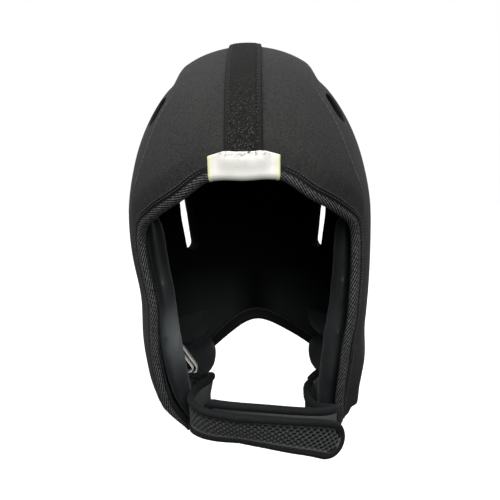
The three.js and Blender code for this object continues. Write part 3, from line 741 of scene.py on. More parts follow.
# The ribs start beyond a plain border, and their pale crests fade out inside the fold as painted shade
across = node(tree, "ShaderNodeSeparateXYZ", {0: flat_cloth}).outputs["Y"]
ribbed_with_fold_shade = ranged(tree, across, RIBS_FROM, RIBS_FROM + 0.8)
ribbed_with_fold_shade = arithmetic(tree, "MULTIPLY", ribbed_with_fold_shade, ranged(tree, across, *FOLD_SHADE_FADE))
pale_crests_fold_shaded = ranged(tree, arithmetic(tree, "MULTIPLY", crest, ribbed_with_fold_shade), 0.16, 0.62)
twill = mixed(tree, pale_crests_fold_shaded, "#0e0e0f", "#7e7f81")
looks = {"Base Color": twill, "Roughness": 0.62, "Specular IOR Level": 0.2, "Sheen Weight": 0.03}
surfaced(tree, looks, noise(tree, here, 0.7, 1.0), 0.5, 0.3)

# %% Fold a band over the edge
FOLD_LONG = np.pi * (RIM_RADIUS + 1)
RIM_MIDDLE = -WALL / 2 + (RIM_WALL - WALL) * (OUTER_SHARE - 0.5)


def folded(edge, inland, outer_reach, inner_reach, turns, offset):
    """Points of a band wrapped over the edge, a row for each edge point. offset has a column for each outer
    reach, turn and inner reach in order. A lip lies offset off the wall's face; the fold is an arc of radius
    r + offset about the middle of the rim: reach r - (r + o)cos(turn), height m + (r + o)sin(turn)."""
    lips = []
    for reach, face, sign in ((outer_reach, 0, 1), (inner_reach, 1, -1)):
        q = on_form(edge[:, None] + inland[:, None] * reach[..., None])
        part = offset[:, : reach.shape[1]] if face == 0 else offset[:, -reach.shape[1] :]
        lips.append(lifted(q, wall(q, *edge_near(q))[face] + sign * part))
    arc = RIM_RADIUS + offset[:, outer_reach.shape[1] : -inner_reach.shape[1]]
    q = on_form(edge[:, None] + inland[:, None] * (RIM_RADIUS - arc * np.cos(turns))[..., None])
    return np.concatenate([lips[0], lifted(q, RIM_MIDDLE + arc * np.sin(turns)), lips[1]], axis=1)


def band(edge, inland, place, outer_lip, inner_lip, top, bottom, steps):
    """A folded band with thickness: its top layer, then its bottom layer back again, as rows of points, with
    each point's place on the flat tape. top and bottom give the offset from along and across."""
    outer_steps, fold_steps, inner_steps = steps
    share = np.linspace(0, 1, outer_steps, endpoint=False)[None]
    outer_reach = outer_lip[:, None] + (RIM_RADIUS + 0.6 - outer_lip[:, None]) * share
    share = np.linspace(0, 1, inner_steps, endpoint=False)[None, ::-1]
    inner_reach = inner_lip + (RIM_RADIUS + 0.6 - inner_lip) * share + 0 * outer_reach[:, :1]
    turns = np.linspace(np.pi / 2, -np.pi / 2, fold_steps)[None]
    fold = (0.5 - turns / np.pi) * FOLD_LONG + 0 * place[:, None]
    across = np.concatenate([RIM_RADIUS - outer_reach, fold, FOLD_LONG + inner_reach - RIM_RADIUS], axis=1)
    uv = np.stack([place[:, None] + 0 * across, across], -1)
    layers = [
        folded(edge, inland, outer_reach, inner_reach, turns, layer(place[:, None], across))
        for layer in (top, bottom)
    ]
    under = np.r_[np.arange(uv.shape[1] - 1, 0, -4), 0]
    points = np.concatenate([layers[0], layers[1][:, under]], axis=1)
    return points, np.concatenate([uv, uv[:, under]], axis=1)


# %% The binding and its stitches
TAPE_ROWS, TAPE_STEPS = 1300, (15, 31, 6)
# A twin row of stitches along the plain border outside, and one row inside: how far inland, and the face
SEWN_ROWS, TAPE_STITCH, STITCH_PITCH, UNDER_LABEL = ((7.7, 0), (5.9, 0), (8.3, 1)), 1.5, 2.1, 27.0
loop_line = np.vstack([half_edge, (half_edge[1:-1] * MIRROR)[::-1], half_edge[:1]])
LOOP = lengths(loop_line)[-1]
tape_place = np.linspace(0, LOOP, TAPE_ROWS, endpoint=False)
tape_edge = on_form(along(loop_line, tape_place))
tape_forward = unit(np.roll(tape_edge, -1, axis=0) - np.roll(tape_edge, 1, axis=0))
tape_inland = unit(np.cross(outward(tape_edge), tape_forward))


def lip_round(across):
    """1 over the tape and falling to 0.2 in a quarter round over its last millimetre on either side."""
    end = np.minimum(across + OUTER_LIP - RIM_RADIUS, FOLD_LONG + INNER_LIP - RIM_RADIUS - across)
    return 0.2 + 0.8 * quarter_round(end)


def pressed(place):
    """How flat the label presses the tape at the middle of the brow: 0.35 under it and 1 beside it."""
    return 0.35 + 0.65 * smooth(np.minimum(place, LOOP - place), 20, 25)


def tape_top(place, across):
    """Clear of the wall by the tape's thickness and its slanted ribs, a raised sine beyond the border."""
    ribs = 0.5 - 0.5 * np.cos(2 * np.pi * (place + RIB_SLANT * across) / RIB_PITCH)
    ribs = ribs * smooth(across, RIBS_FROM - 0.4, RIBS_FROM + 0.6)
    high = (BINDING_THICK + RIB_HIGH * (ribs - 0.6)) * lip_round(across)
    return (BINDING_CLEAR + high) * pressed(place)


def tape_bottom(place, across):
    """A flat underside, just clear of the wall."""
    return BINDING_CLEAR * pressed(place) + 0 * across


lip = np.full(TAPE_ROWS, OUTER_LIP)
tape_points, tape_uv = band(
    tape_edge, tape_inland, tape_place, lip, INNER_LIP, tape_top, tape_bottom, TAPE_STEPS
)
tape_faces = grid_faces(numbered(tape_points), close_rows=True, close_columns=True)
tape_mesh = mesh_from("folded_binding", tape_points.reshape(-1, 3), [tape_faces], tape_uv.reshape(-1, 2))
binding = add_piece(tape_mesh, binding_twill, "binding_twill", "edge_binding")


def row_on_tape(reach, face):
    """Places for a row of stitches a given reach inland, on the tape's outer or inner lip."""
    place = np.arange(UNDER_LABEL, LOOP - UNDER_LABEL, STITCH_PITCH)
    edge = on_form(along(loop_line, place))
    forward = unit(np.gradient(edge, axis=0))
    q = on_form(edge + unit(np.cross(outward(edge), forward)) * reach)
    sign = 1 if face == 0 else -1
    height = wall(q, *edge_near(q))[face] + sign * (BINDING_CLEAR + BINDING_THICK + 0.12)
    return lifted(q, height), np.gradient(q, axis=0), sign * outward(q)


tape_rows = [row_on_tape(*row) for row in SEWN_ROWS]
binding_stitches = sew("binding_stitches", tape_rows, TAPE_STITCH, pale_painted_thread, "binding_twill")

# %% [markdown]
# ## The crown strip
# A 26 mm tape covers the seam between the halves, from brow to nape. Its two selvedges are sewn down, so
# it is a flat band with a groove 3.4 mm in from each side and rounded sides. Its face is a looped pile with
# painted glints, specks of painted highlight near the brow, with a plain border outside each groove, and
# the material draws both on the flat.

# %% Looped tape finish
LOOP_SIZE = 0.85
STRIP_HALF, STRIP_THICK, STRIP_CLEAR, SELVEDGE = 13.0, 2.2, 0.7, 9.6
crown_tape, tree = new_finish("looped_nylon_tape")
here, flat_cloth = object_place(tree), cloth_place(tree)
# Loops of 0.6 mm would blur, so they are drawn larger, each with its own shade and a painted highlight in
# its middle: painted glints that grow stronger towards the brow
loops = node(tree, "ShaderNodeTexVoronoi", {"Vector": flat_cloth, "Scale": 1 / LOOP_SIZE}, feature="F1")
shade = node(tree, "ShaderNodeSeparateColor", {0: loops.outputs["Color"]}).outputs[0]
middle = ranged(tree, loops.outputs["Distance"], 0.5, 0.15)
spark = arithmetic(tree, "MULTIPLY", arithmetic(tree, "POWER", shade, 1.6), middle)
spot = node(tree, "ShaderNodeSeparateXYZ", {0: flat_cloth})
painted_glint = arithmetic(tree, "MULTIPLY", spark, ranged(tree, spot.outputs["X"], 70.0, 5.0, 0.08, 0.5))
pile = mixed(tree, painted_glint, "#181817", "#b4b4b0")
aside = arithmetic(tree, "ABSOLUTE", spot.outputs["Y"])
edged = mixed(tree, ranged(tree, aside, SELVEDGE, SELVEDGE + 0.5), pile, "#282827")
dull = ranged(tree, noise(tree, here, 1.4, 3.0, 0.7), 0.62, 0.4, 0.0, 0.55)
yarns = mixed(tree, dull, edged, "#0f0f0f")
looks = {"Base Color": yarns, "Roughness": 0.7, "Specular IOR Level": 0.1, "Sheen Weight": 0.015}
surfaced(tree, looks, middle, 0.5, 0.5)

# %% The strip over the crown seam
STRIP_NARROWS, STRIP_THINS, STRIP_END = 0.11, 0.4, 11.5
STRIP_ROWS, STRIP_COLUMNS = 300, 37
SEW_PITCH, SEW_LONG = 3.0, 2.2
strip_run = crown_line()
strip_long = lengths(strip_run)[-1] - 2 * STRIP_END
strip_place = np.linspace(0, strip_long, STRIP_ROWS)


def strip_height(x):
    """Thickness across the strip: rounded at the sides, with a sewn groove along each selvedge."""
    side = quarter_round((STRIP_HALF - np.abs(x)) / 2.4)
    groove = 0.55 * bell(np.abs(x), SELVEDGE, 0.7)
    return STRIP_THICK * (0.1 + 0.9 * side) - groove + 0.25 * (1 - smooth(np.abs(x), SELVEDGE - 1, SELVEDGE))


def on_strip(place, x, height):
    """Points of the strip: the middle line set aside by x, on the form, and lifted off the shell. The strip
    is stretched over the crown, where it narrows and thins by a bell, sine², of its length."""
    stretch = np.sin(np.pi * np.clip(place / strip_long, 0, 1)) ** 2
    x, height = x * (1 - STRIP_NARROWS * stretch), height * (1 - STRIP_THINS * stretch)
    middle = on_form(along(strip_run, place + STRIP_END))
    q = on_form(np.stack([x + 0 * middle[:, 0], middle[:, 1], middle[:, 2]], -1))
    return lifted(q, wall(q, *edge_near(q))[0] + STRIP_CLEAR + height), q


def capped(name, points, cloth_mm=None):
    """A mesh skinned over a run of closed sections, each end closed by triangles round a middle point."""
    ids = numbered(points)
    fans = [
        np.stack([ring, np.roll(ring, -1), np.full_like(ring, ids.size + k)], -1)
        for k, ring in enumerate((ids[0], ids[-1]))
    ]
    all_points = np.concatenate([points.reshape(-1, 3), points[[0, -1]].mean(axis=1)])
    if cloth_mm is not None:
        cloth_mm = np.concatenate([cloth_mm.reshape(-1, 2), cloth_mm[[0, -1]].mean(axis=1)])
    return mesh_from(name, all_points, [grid_faces(ids, close_columns=True), *fans], cloth_mm)


# The columns stand closer together towards the strip's rounded sides
share = np.linspace(-1, 1, STRIP_COLUMNS)
strip_x = STRIP_HALF * (0.35 * np.sin(share * np.pi / 2) + 0.65 * share)
pp, xx = (a.ravel() for a in np.meshgrid(strip_place, strip_x, indexing="ij"))
strip_top, strip_under = (
    on_strip(pp, xx, height)[0].reshape(STRIP_ROWS, STRIP_COLUMNS, 3) for height in (strip_height(xx), 0 * xx)
)
strip_points = np.concatenate([strip_top, strip_under[:, ::-4]], axis=1)
strip_uv = np.stack([pp, xx], -1).reshape(STRIP_ROWS, STRIP_COLUMNS, 2)
strip_uv = np.concatenate([strip_uv, strip_uv[:, ::-4]], axis=1)
strip_mesh = capped("woven_strip", strip_points, strip_uv)
strip = add_piece(strip_mesh, crown_tape, "crown_tape", "crown_strip")
sew_place = np.arange(2, strip_long - 2, SEW_PITCH)
rows = []
for x in (-SELVEDGE, SELVEDGE):
    at, q = on_strip(sew_place, np.full_like(sew_place, x), np.full_like(sew_place, STRIP_THICK - 0.25))
    rows.append((at, np.gradient(q, axis=0), outward(q)))
strip_stitches = sew("strip_stitches", rows, SEW_LONG, sewing_thread, "crown_tape")
print(f"strip: {strip_long:.0f} mm long")

# %% [markdown]
# ## The brow label
# A white label is folded over the middle of the brow, over the end of the strip. It is a satin-faced patch,
# left blank, with dirt along its top and a yellow tinge at its sides. It is the binding's band again, wider
# and shorter, with its upper corners cut away and a swell over the strip beneath it.

# %% Label satin
label_satin, tree = new_finish("coated_label_satin")
here = object_place(tree)
spot = node(tree, "ShaderNodeSeparateXYZ", {0: cloth_place(tree)})
far_aside = arithmetic(tree, "ABSOLUTE", spot.outputs["X"])
yellowed = mixed(tree, ranged(tree, far_aside, 20.5, 24.5), "#fbf9f2", "#e9eca6")
# Scuffs a few millimetres across gather along the top edge, where fingers pull at it
near_top, near_middle = ranged(tree, spot.outputs["Y"], -9.5, -12.5), ranged(tree, far_aside, 19.0, 13.0)
dirt = ranged(tree, noise(tree, here, 3.2, 5.0, 0.75), 0.5, 0.6)
smudge = arithmetic(tree, "MULTIPLY", arithmetic(tree, "MULTIPLY", near_top, near_middle), dirt)
grey = mixed(tree, smudge, yellowed, "#57534f")
haze = ranged(tree, noise(tree, here, 9, 4.0), 0.5, 0.8, 0.0, 0.25)
looks = {"Base Color": mixed(tree, haze, grey, "#bdb8ac"), "Roughness": 0.42, "Specular IOR Level": 0.5}
surfaced(tree, looks, noise(tree, here, 0.8, 1.0), 0.2, 0.3)

# %% The label over the brow
LABEL_HALF, LABEL_THICK, LABEL_OUTER, LABEL_INNER = 24.5, 1.2, 16.0, 11.0
CORNER_CUT, LABEL_CLEAR, STRIP_LIFT, LABEL_STEPS = 1.7, 1.0, 2.3, (24, 15, 12)
side_run = edge_run(BROW, 3)
turn = np.linspace(0, np.pi / 2, 31)
label_x = np.concatenate([-np.cos(turn), np.sin(turn)[1:]]) * LABEL_HALF
label_edge = on_form(along(side_run, np.abs(label_x)))
label_edge[:, 0] *= np.where(label_x < 0, -1, 1)
label_inland = unit(np.cross(outward(label_edge), np.array([1.0, 0.0, 0.0])))


def label_reach(x):
    """How far the label goes up the brow: less at its corners, which are cut away."""
    return LABEL_OUTER - CORNER_CUT * smooth(np.abs(x), 10, LABEL_HALF + 4)


def label_clear(x, across):
    """The label's underside: close over the pressed tape, and lifted where it covers the strip's end."""
    over_strip = smooth(-across, -2.0, 9.5) * (1 - smooth(np.abs(x), 12.5, 20))
    return LABEL_CLEAR + STRIP_LIFT * over_strip


def label_top(x, across):
    """Its face: the thickness, rounded at all four sides, with a turned-in hem beside each end."""
    aside = LABEL_HALF - np.abs(x)
    end = np.minimum(across + label_reach(x), FOLD_LONG + LABEL_INNER - across) - RIM_RADIUS
    edge = quarter_round(np.minimum(aside, end) / 1.1)
    hem = 0.3 * bell(aside, 3.2, 0.6)
    return label_clear(x, across) + LABEL_THICK * (0.15 + 0.85 * edge) - hem


label_points, label_uv = band(
    label_edge, label_inland, label_x, label_reach(label_x), LABEL_INNER, label_top, label_clear, LABEL_STEPS
)
label_mesh = capped("folded_label", label_points, label_uv)
label = add_piece(label_mesh, label_satin, "label_satin", "brow_label")

# %% [markdown]
# ## The inner pads
# Cheek rolls and two stacked neck pads on each side are foam in black tricot, glued to the wall. They are
# simulated: a slightly thin pillow is remeshed, blown up as cloth under pressure for 20 frames, held to a few
# millimetres of movement and pressed back against the wall it lies on. The left ones are mirrored.

# %% Lining tricot
def tricot_finish(name, dark, light, sheen):
    """Warp-knit tricot: the columns, 0.5 mm apart, can't show, so its nap is drawn at 1.2 mm, with slow
    changes of shade, a silky shine where it is stretched over a roll, and a pale painted highlight where
    the mesh keeps a share for it."""
    material, tree = new_finish(name)
    here = object_place(tree)
    nap, slow = noise(tree, here, 1.2, 2.0), noise(tree, here, 26, 2.0)
    cloth = mixed(tree, arithmetic(tree, "MULTIPLY", nap, slow), dark, light)
    # The kept share paints a pale highlight over the cloth
    looks = {
        "Base Color": mixed(tree, kept_value(tree, "with_painted_highlight"), cloth, "#8b9091"),
        "Roughness": 0.45,
        "Specular IOR Level": 0.3,
        "Sheen Weight": sheen,
        "Sheen Roughness": 0.4,
        "Sheen Tint": linear("#9aa3ad"),
    }
    surfaced(tree, looks, nap, 0.25, 0.4)
    return material


# Both are one black tricot; the neck pads' copy is painted paler, as painted light for the light that reaches
# them deep inside, and the rolls' copy has more sheen
roll_tricot = tricot_finish("brushed_lining_tricot", "#161818", "#383c3d", 0.35)
neck_tricot = tricot_finish("lining_tricot_painted_paler", "#1c1e1e", "#424647", 0.15)

# %% Stuff a pad by cloth simulation
# How much a pad swells, how far its foot leans back, how far the stuffing may move it and how full it is
ROLL_STUFFING = dict(swell=0.3, slant=10.0, cap=3.0, fill=0.8)
CUSHION_STUFFING = dict(swell=0.0, slant=0.0, cap=2.0, fill=0.6)
PADS = {
    "cheek_pad": dict(
        at=(81, -34, -197), long=56.0, tall=214.0, thick=12.5, square=9.0, blunt=8.0, **ROLL_STUFFING
    ),
    "neck_pad_upper": dict(
        at=(66, 56, -219), long=82.0, tall=36.0, thick=8.5, square=3.0, blunt=3.5, **CUSHION_STUFFING
    ),
    "neck_pad_lower": dict(
        at=(62, 50, -243), long=76.0, tall=42.0, thick=14.0, square=2.4, blunt=2.6, **CUSHION_STUFFING
    ),
}
SEAT, THIN, PAD_RINGS = -WALL - 0.4, 2.0, 14
VOXEL, PRESSURE, FRAMES = 3.0, 4.0, 20


def pillow(pad):
    """A pillow on the inside of the wall: rings of a rounded rectangle, |c|^n + |s|^n = 1 with n as its
    squareness, and a height of thick·sqrt(1 - ring^m) in front, with m as its bluntness, and none behind. A
    swell adds a share of exp(-((u + 0.25)/0.4)²) at u up the pad, and its foot leans back by the slant."""
    centre = on_form(np.array(pad["at"], float))
    normal = outward(centre)
    level = unit(np.cross([0, 0, 1], normal))
    up = np.cross(normal, level)
    turn = np.linspace(0, 2 * np.pi, 4 * PAD_RINGS, endpoint=False)
    c, s = np.cos(turn), np.sin(turn)
    reach = (np.abs(c) ** pad["square"] + np.abs(s) ** pad["square"]) ** (-1 / pad["square"])
    ring = np.concatenate([np.linspace(0.05, 1, PAD_RINGS), np.linspace(1, 0.05, PAD_RINGS)])[:, None]
    is_front = (np.arange(2 * PAD_RINGS) < PAD_RINGS)[:, None]
    aside, rise = ring * c * reach, ring * s * reach
    along_wall = aside * (pad["long"] / 2 - THIN) + pad["slant"] * smooth(-rise, 0.5, 1)
    up_wall = rise * (pad["tall"] / 2 - THIN)
    flat = centre + along_wall[..., None] * level + up_wall[..., None] * up
    height = (pad["thick"] - THIN) * np.sqrt(np.maximum(1 - ring ** pad["blunt"], 0)) * is_front
    height = height * (1 + pad["swell"] * bell(rise, -0.25, 0.4))
    return lifted(on_form(flat), SEAT - 0.5 - height)


def evaluated(thing):
    """Points and quads of an object as its modifiers make it now."""
    mesh = thing.evaluated_get(bpy.context.evaluated_depsgraph_get()).to_mesh()
    points, corners = np.empty(len(mesh.vertices) * 3), np.empty(len(mesh.loops), np.int32)
    mesh.vertices.foreach_get("co", points)
    mesh.loops.foreach_get("vertex_index", corners)
    return points.reshape(-1, 3) / MM, corners.reshape(-1, 4)


def stuffed(name, points, cap):
    """Remeshes a closed pillow evenly, blows it up as cloth, and holds each point's move to cap."""
    scene = bpy.context.scene
    made = bpy.data.objects.new("stuffing", capped(name, points))
    scene.collection.objects.link(made)
    even = made.modifiers.new("even", "REMESH")
    even.mode, even.voxel_size = "VOXEL", VOXEL * MM
    start, quads = evaluated(made)
    bpy.data.objects.remove(made)
    made = bpy.data.objects.new("stuffing", mesh_from(name, start, [quads]))
    scene.collection.objects.link(made)
    cloth = made.modifiers.new("stuffed", "CLOTH")
    cloth.settings.use_pressure = True
    cloth.settings.uniform_pressure_force = PRESSURE
    cloth.settings.effector_weights.gravity = 0
    cloth.point_cache.frame_end = FRAMES
    for number in range(1, FRAMES + 1):
        scene.frame_set(number)
    moved = evaluated(made)[0] - start
    bpy.data.objects.remove(made)
    scene.frame_set(1)
    far = np.linalg.norm(moved, axis=1, keepdims=True)
    print(f"{name}: moved {far.mean():.2f} mm, at most {far.max():.2f} mm")
    return start + moved * np.minimum(1, cap / np.maximum(far, 1e-6)), quads


def pressed_to_wall(points):
    """Points that went past the wall's lining are set back on it: the part of p - f along the normal,
    with f the form under p, is held to the seat's depth."""
    under = on_form(points)
    normal = outward(under)
    height = ((points - under) * normal).sum(-1, keepdims=True)
    return points - normal * np.maximum(height - SEAT, 0)


# %% The six pads
# A pale painted highlight low on the cheek rolls: how much on each side, and the place and its size
# along y and z. The left roll, which faces the light from the front right, takes it fully
PAD_HIGHLIGHT, PAD_HIGHLIGHT_Y, PAD_HIGHLIGHT_Z = {"left": 1.0, "right": 0.06}, (-38, 11), (-203, 22)
for name, pad in PADS.items():
    points, quads = stuffed(name, pillow(pad), pad["cap"])
    points = pressed_to_wall(points)
    wear_and_highlight = bell(points[:, 1], *PAD_HIGHLIGHT_Y) * bell(points[:, 2], *PAD_HIGHLIGHT_Z)
    for side, turn in SIDES.items():
        mesh = mesh_from(f"{name}_{side}_cover", points * turn, [quads])
        keep_values(mesh, "with_painted_highlight", PAD_HIGHLIGHT[side] * wear_and_highlight)
        cloth = roll_tricot if name == "cheek_pad" else neck_tricot
        made = add_piece(mesh, cloth, "pad_jersey", f"{name}_{side}")
        ironed = made.modifiers.new("ironed", "SMOOTH")
        ironed.factor, ironed.iterations = 0.5, 24
        rounder = made.modifiers.new("rounder", "SUBSURF")
        rounder.levels = rounder.render_levels = 1

# %% [markdown]
# ## The chin strap
# The strap is in two parts, each sewn inside a cheek: a padded band faced with open spacer mesh, with a
# rolled jersey edge. The outer one comes from the left and closes over the inner one from the right. A band
# is a section carried along a path, so both parts come from the same functions and two tables.

# %% Paths of the two straps
# Each row: the middle of the band, and how far its top leans towards its outer face, in degrees
OUTER_STRAP = np.array(
    [
        (-50, 4, -270, 0),
        (-41, 2, -266.5, 0),
        (-38, -6, -262, -14),
        (-39.5, -17, -261, -14),
        (-45, -29, -262, -9),
        (-47, -46, -262, -3),
        (-44.5, -64, -261.5, 5),
        (-32.5, -79, -262, 21),
        (-10, -86, -263, 29),
        (10, -88, -265, 22),
        (30, -86.5, -268.5, 14),
        (48, -81, -273, 7),
        (67, -69, -282, 0),
    ],
    float,
)
INNER_STRAP = np.array(
    [
        (50, 2, -266.5, 0),
        (44, -5, -269, 0),
        (42.5, -18, -272, 0),
        (44, -37, -271.5, 0),
        (50, -53, -269.5, 0),
        (60, -64, -267, -3),
        (52, -73.5, -265, -8),
        (30, -80.8, -260.6, -14),
        (10, -83.6, -256.5, -22),
        (-10, -82, -254, -30),
        (-22, -77.5, -253.5, -34),
        (-31, -69, -254, -34),
    ],
    float,
)
STRAPS = {
    "outer": dict(rows=OUTER_STRAP, side=-1, high=30.0, root_z=-266.0, clear=1.0),
    "inner": dict(rows=INNER_STRAP, side=1, high=26.0, root_z=-261.0, clear=0.9),
}
ROOT_Y, ROOT_RUN = 2.0, 7.0
STRAP_THICK, BEAD, TUCKED = 5.0, 6.2, 1.2


def side_of_form(side, y, z):
    """The point of the form's side at that depth and height, from its two superellipses."""
    w = np.abs(z - CENTRE[2]) / DROP
    ring = (1 - w**SKIRT_POWER) ** (1 / SKIRT_POWER)
    x = (ring**PLAN_POWER - (np.abs(y) / HALF_DEPTH) ** PLAN_POWER) ** (1 / PLAN_POWER)
    return np.array([side * HALF_WIDTH * x, y, z])


def strap_frames(strap):
    """The strap's length, and a function that places points on it: along it, across it, and out from it.
    At each place the face is tangent x up, and the rise leans from up towards the face."""
    seat = side_of_form(strap["side"], ROOT_Y, strap["root_z"])
    roots = [settled(lifted(seat, -WALL - strap["clear"] - run)) for run in (0, ROOT_RUN)]
    rows = np.vstack([*roots, strap["rows"][:, :3]])
    at = np.linspace(0, len(rows) - 1, 4000)
    path = spline(rows, at, is_centripetal=True)
    lean = np.radians(np.interp(at, np.arange(len(rows)), np.concatenate([[0, 0], strap["rows"][:, 3]])))
    tangent = unit(np.gradient(path, axis=0))
    up = np.array([0.0, 0.0, 1.0])
    face = unit(np.cross(tangent * [1, 1, 0], up))
    rise = up * np.cos(lean)[:, None] + face * np.sin(lean)[:, None]
    rise = unit(rise - tangent * (rise * tangent).sum(1, keepdims=True))
    face = np.cross(tangent, rise)
    total = lengths(path)

    def place(distance, across, out):
        """A point at that distance along the band, across it from its middle, and out from its face."""
        each = ([np.interp(distance, total, v[:, k]) for k in range(3)] for v in (path, rise, face))
        middle, high, off = (np.stack(parts, -1) for parts in each)
        return middle + high * np.asarray(across)[..., None] + off * np.asarray(out)[..., None]

    return total[-1], place


for name, strap in STRAPS.items():
    strap["long"], strap["place"] = strap_frames(strap)
    print(f"{name} strap: {strap['long']:.0f} mm")

# %% Spacer mesh and rolled jersey
strap_mesh, tree = new_finish("polyester_spacer_mesh")
# The face yarns have a dull shine; the holes are painted near black, a painted shade for their depth,
# and the plain cloth before the mesh in part, as its darker backing
yarn = noise(tree, object_place(tree), 0.8, 2.0)
face_yarn = mixed(tree, yarn, "#2e2f30", "#6c6d6e")
yarn_and_hole_shade = mixed(tree, kept_value(tree, "hole"), face_yarn, "#020202")
looks = {"Base Color": yarn_and_hole_shade, "Roughness": 0.6, "Specular IOR Level": 0.15, "Sheen Weight": 0.03}
surfaced(tree, looks, yarn, 0.4, 0.4)

strap_jersey, tree = new_finish("rolled_jersey_edge")
# The knit's columns run along the roll; 0.5 mm columns are drawn 1 mm apart
knit = {"Vector": cloth_place(tree), "Scale": wave_scale(1.0), "Distortion": 0.8, "Detail Scale": 1.0}
columns = node(tree, "ShaderNodeTexWave", knit, bands_direction="Y").outputs["Fac"]
looks = {
    "Base Color": mixed(tree, noise(tree, object_place(tree), 1.4, 3.0), "#101112", "#252627"),
    "Roughness": 0.75,
    "Specular IOR Level": 0.12,
    "Sheen Weight": 0.05,
    "Sheen Roughness": 0.5,
    "Sheen Tint": linear("#b9bcc0"),
}
surfaced(tree, looks, columns, 0.15, 0.3)

# %% [markdown]
# The mesh face is the part that shows most. Its oval holes stand in staggered rows 5 mm apart, and they are
# dents in the surface here: a bump map would stay flat at the strap's bends. A thin cord is sewn along
# each side.

# %% Mesh-faced pads
HOLE_LONG, HOLE_HIGH, HOLE_DEEP, OVAL_LONG, OVAL_HIGH = 5.0, 4.4, 2.0, 1.9, 1.25
FACE_POINTS, BACK_POINTS, MESH_FROM, PLAIN_SHADE = 41, 7, 62.0, 0.7
CHEVRON, CHEVRON_FADE = 0.375, (70, 115)


def hole_share(at, across):
    """1 inside a hole and 0 between: the distance to the nearest middle of two staggered lattices, in
    half-widths of the oval, through a soft step."""
    a, b = at / HOLE_LONG, across / HOLE_HIGH
    long, high = HOLE_LONG / OVAL_LONG, HOLE_HIGH / OVAL_HIGH
    nearest = [
        np.hypot(((a + k + 0.5) % 1 - 0.5) * long, ((b + k + 0.5) % 1 - 0.5) * high) for k in (0, 0.5)
    ]
    return 1 - smooth(np.minimum(*nearest), 0.75, 1.1)


def mesh_face(at, across, half, tip):
    """Height of the mesh: a low crown across the band, dented at the holes, with a cord beside each edge. The
    mesh is drawn into chevrons where the band turns. The second value is how dark each point is painted: full
    in a hole, as painted shade, and in part on the plain cloth before the mesh starts, whose backing is
    darker."""
    pulled = at + CHEVRON * np.abs(across) * (1 - smooth(at, *CHEVRON_FADE))
    edge = np.minimum(half - np.abs(across), np.maximum(tip - at, 0))
    is_mesh = smooth(at, MESH_FROM, MESH_FROM + 4)
    hole = hole_share(pulled, across) * smooth(edge, 0.9, 2.0) * is_mesh
    crown = STRAP_THICK / 2 - 1.0 * (across / half) ** 2 - 0.6
    cord = 0.7 * bell(edge, 0.9, 0.55)
    return crown - HOLE_DEEP * hole + cord, np.maximum(hole, PLAIN_SHADE * (1 - is_mesh))


for name, strap in STRAPS.items():
    half = strap["high"] / 2 - BEAD + TUCKED
    tip_middle = strap["long"] - strap["high"] / 2
    turn = np.linspace(0, np.pi / 2 - 0.08, 22)[1:]
    run = np.linspace(0, tip_middle, int(tip_middle / 0.45))
    at = np.concatenate([run, tip_middle + half * np.sin(turn)])
    reach = half * np.concatenate([np.ones(len(run)), np.cos(turn)])
    share = np.linspace(1, -1, FACE_POINTS)
    aa, cc = at[:, None] + 0 * share, reach[:, None] * share
    height, hole = mesh_face(aa, cc, half, tip_middle + half)
    front = strap["place"](aa, cc, height)
    back_share = np.linspace(-1, 1, BACK_POINTS)
    back_across = reach[:, None] * back_share
    back_out = -STRAP_THICK / 2 + 0.5 * back_share**2 + 0 * back_across
    back = strap["place"](at[:, None] + 0 * back_share, back_across, back_out)
    mesh = capped(f"strap_{name}_mesh", np.concatenate([front, back], axis=1))
    shares = np.concatenate([hole, np.zeros((len(at), BACK_POINTS))], axis=1).ravel()
    keep_values(mesh, "hole", np.concatenate([shares, [0, 0]]))
    made = add_piece(mesh, strap_mesh, "strap_mesh", f"chin_strap_{name}_pad", settles=False)

# %% [markdown]
# The rolled edge goes up one side of each band, round the free end and back down the other. It is a round
# section that bends with the band, drawn in along a sewn line on its face and gathered slightly by the
# stitches.

# %% Rolled edges and their stitches
BEAD_SIDES, SEWN_AT, ROLL_PITCH = 18, np.radians(128), 3.2
# Each wave of the gathers: its height as a share of the roll's radius, its length and where it starts
GATHERS = ((0.05, 7.3, 0), (0.035, 4.1, 2))
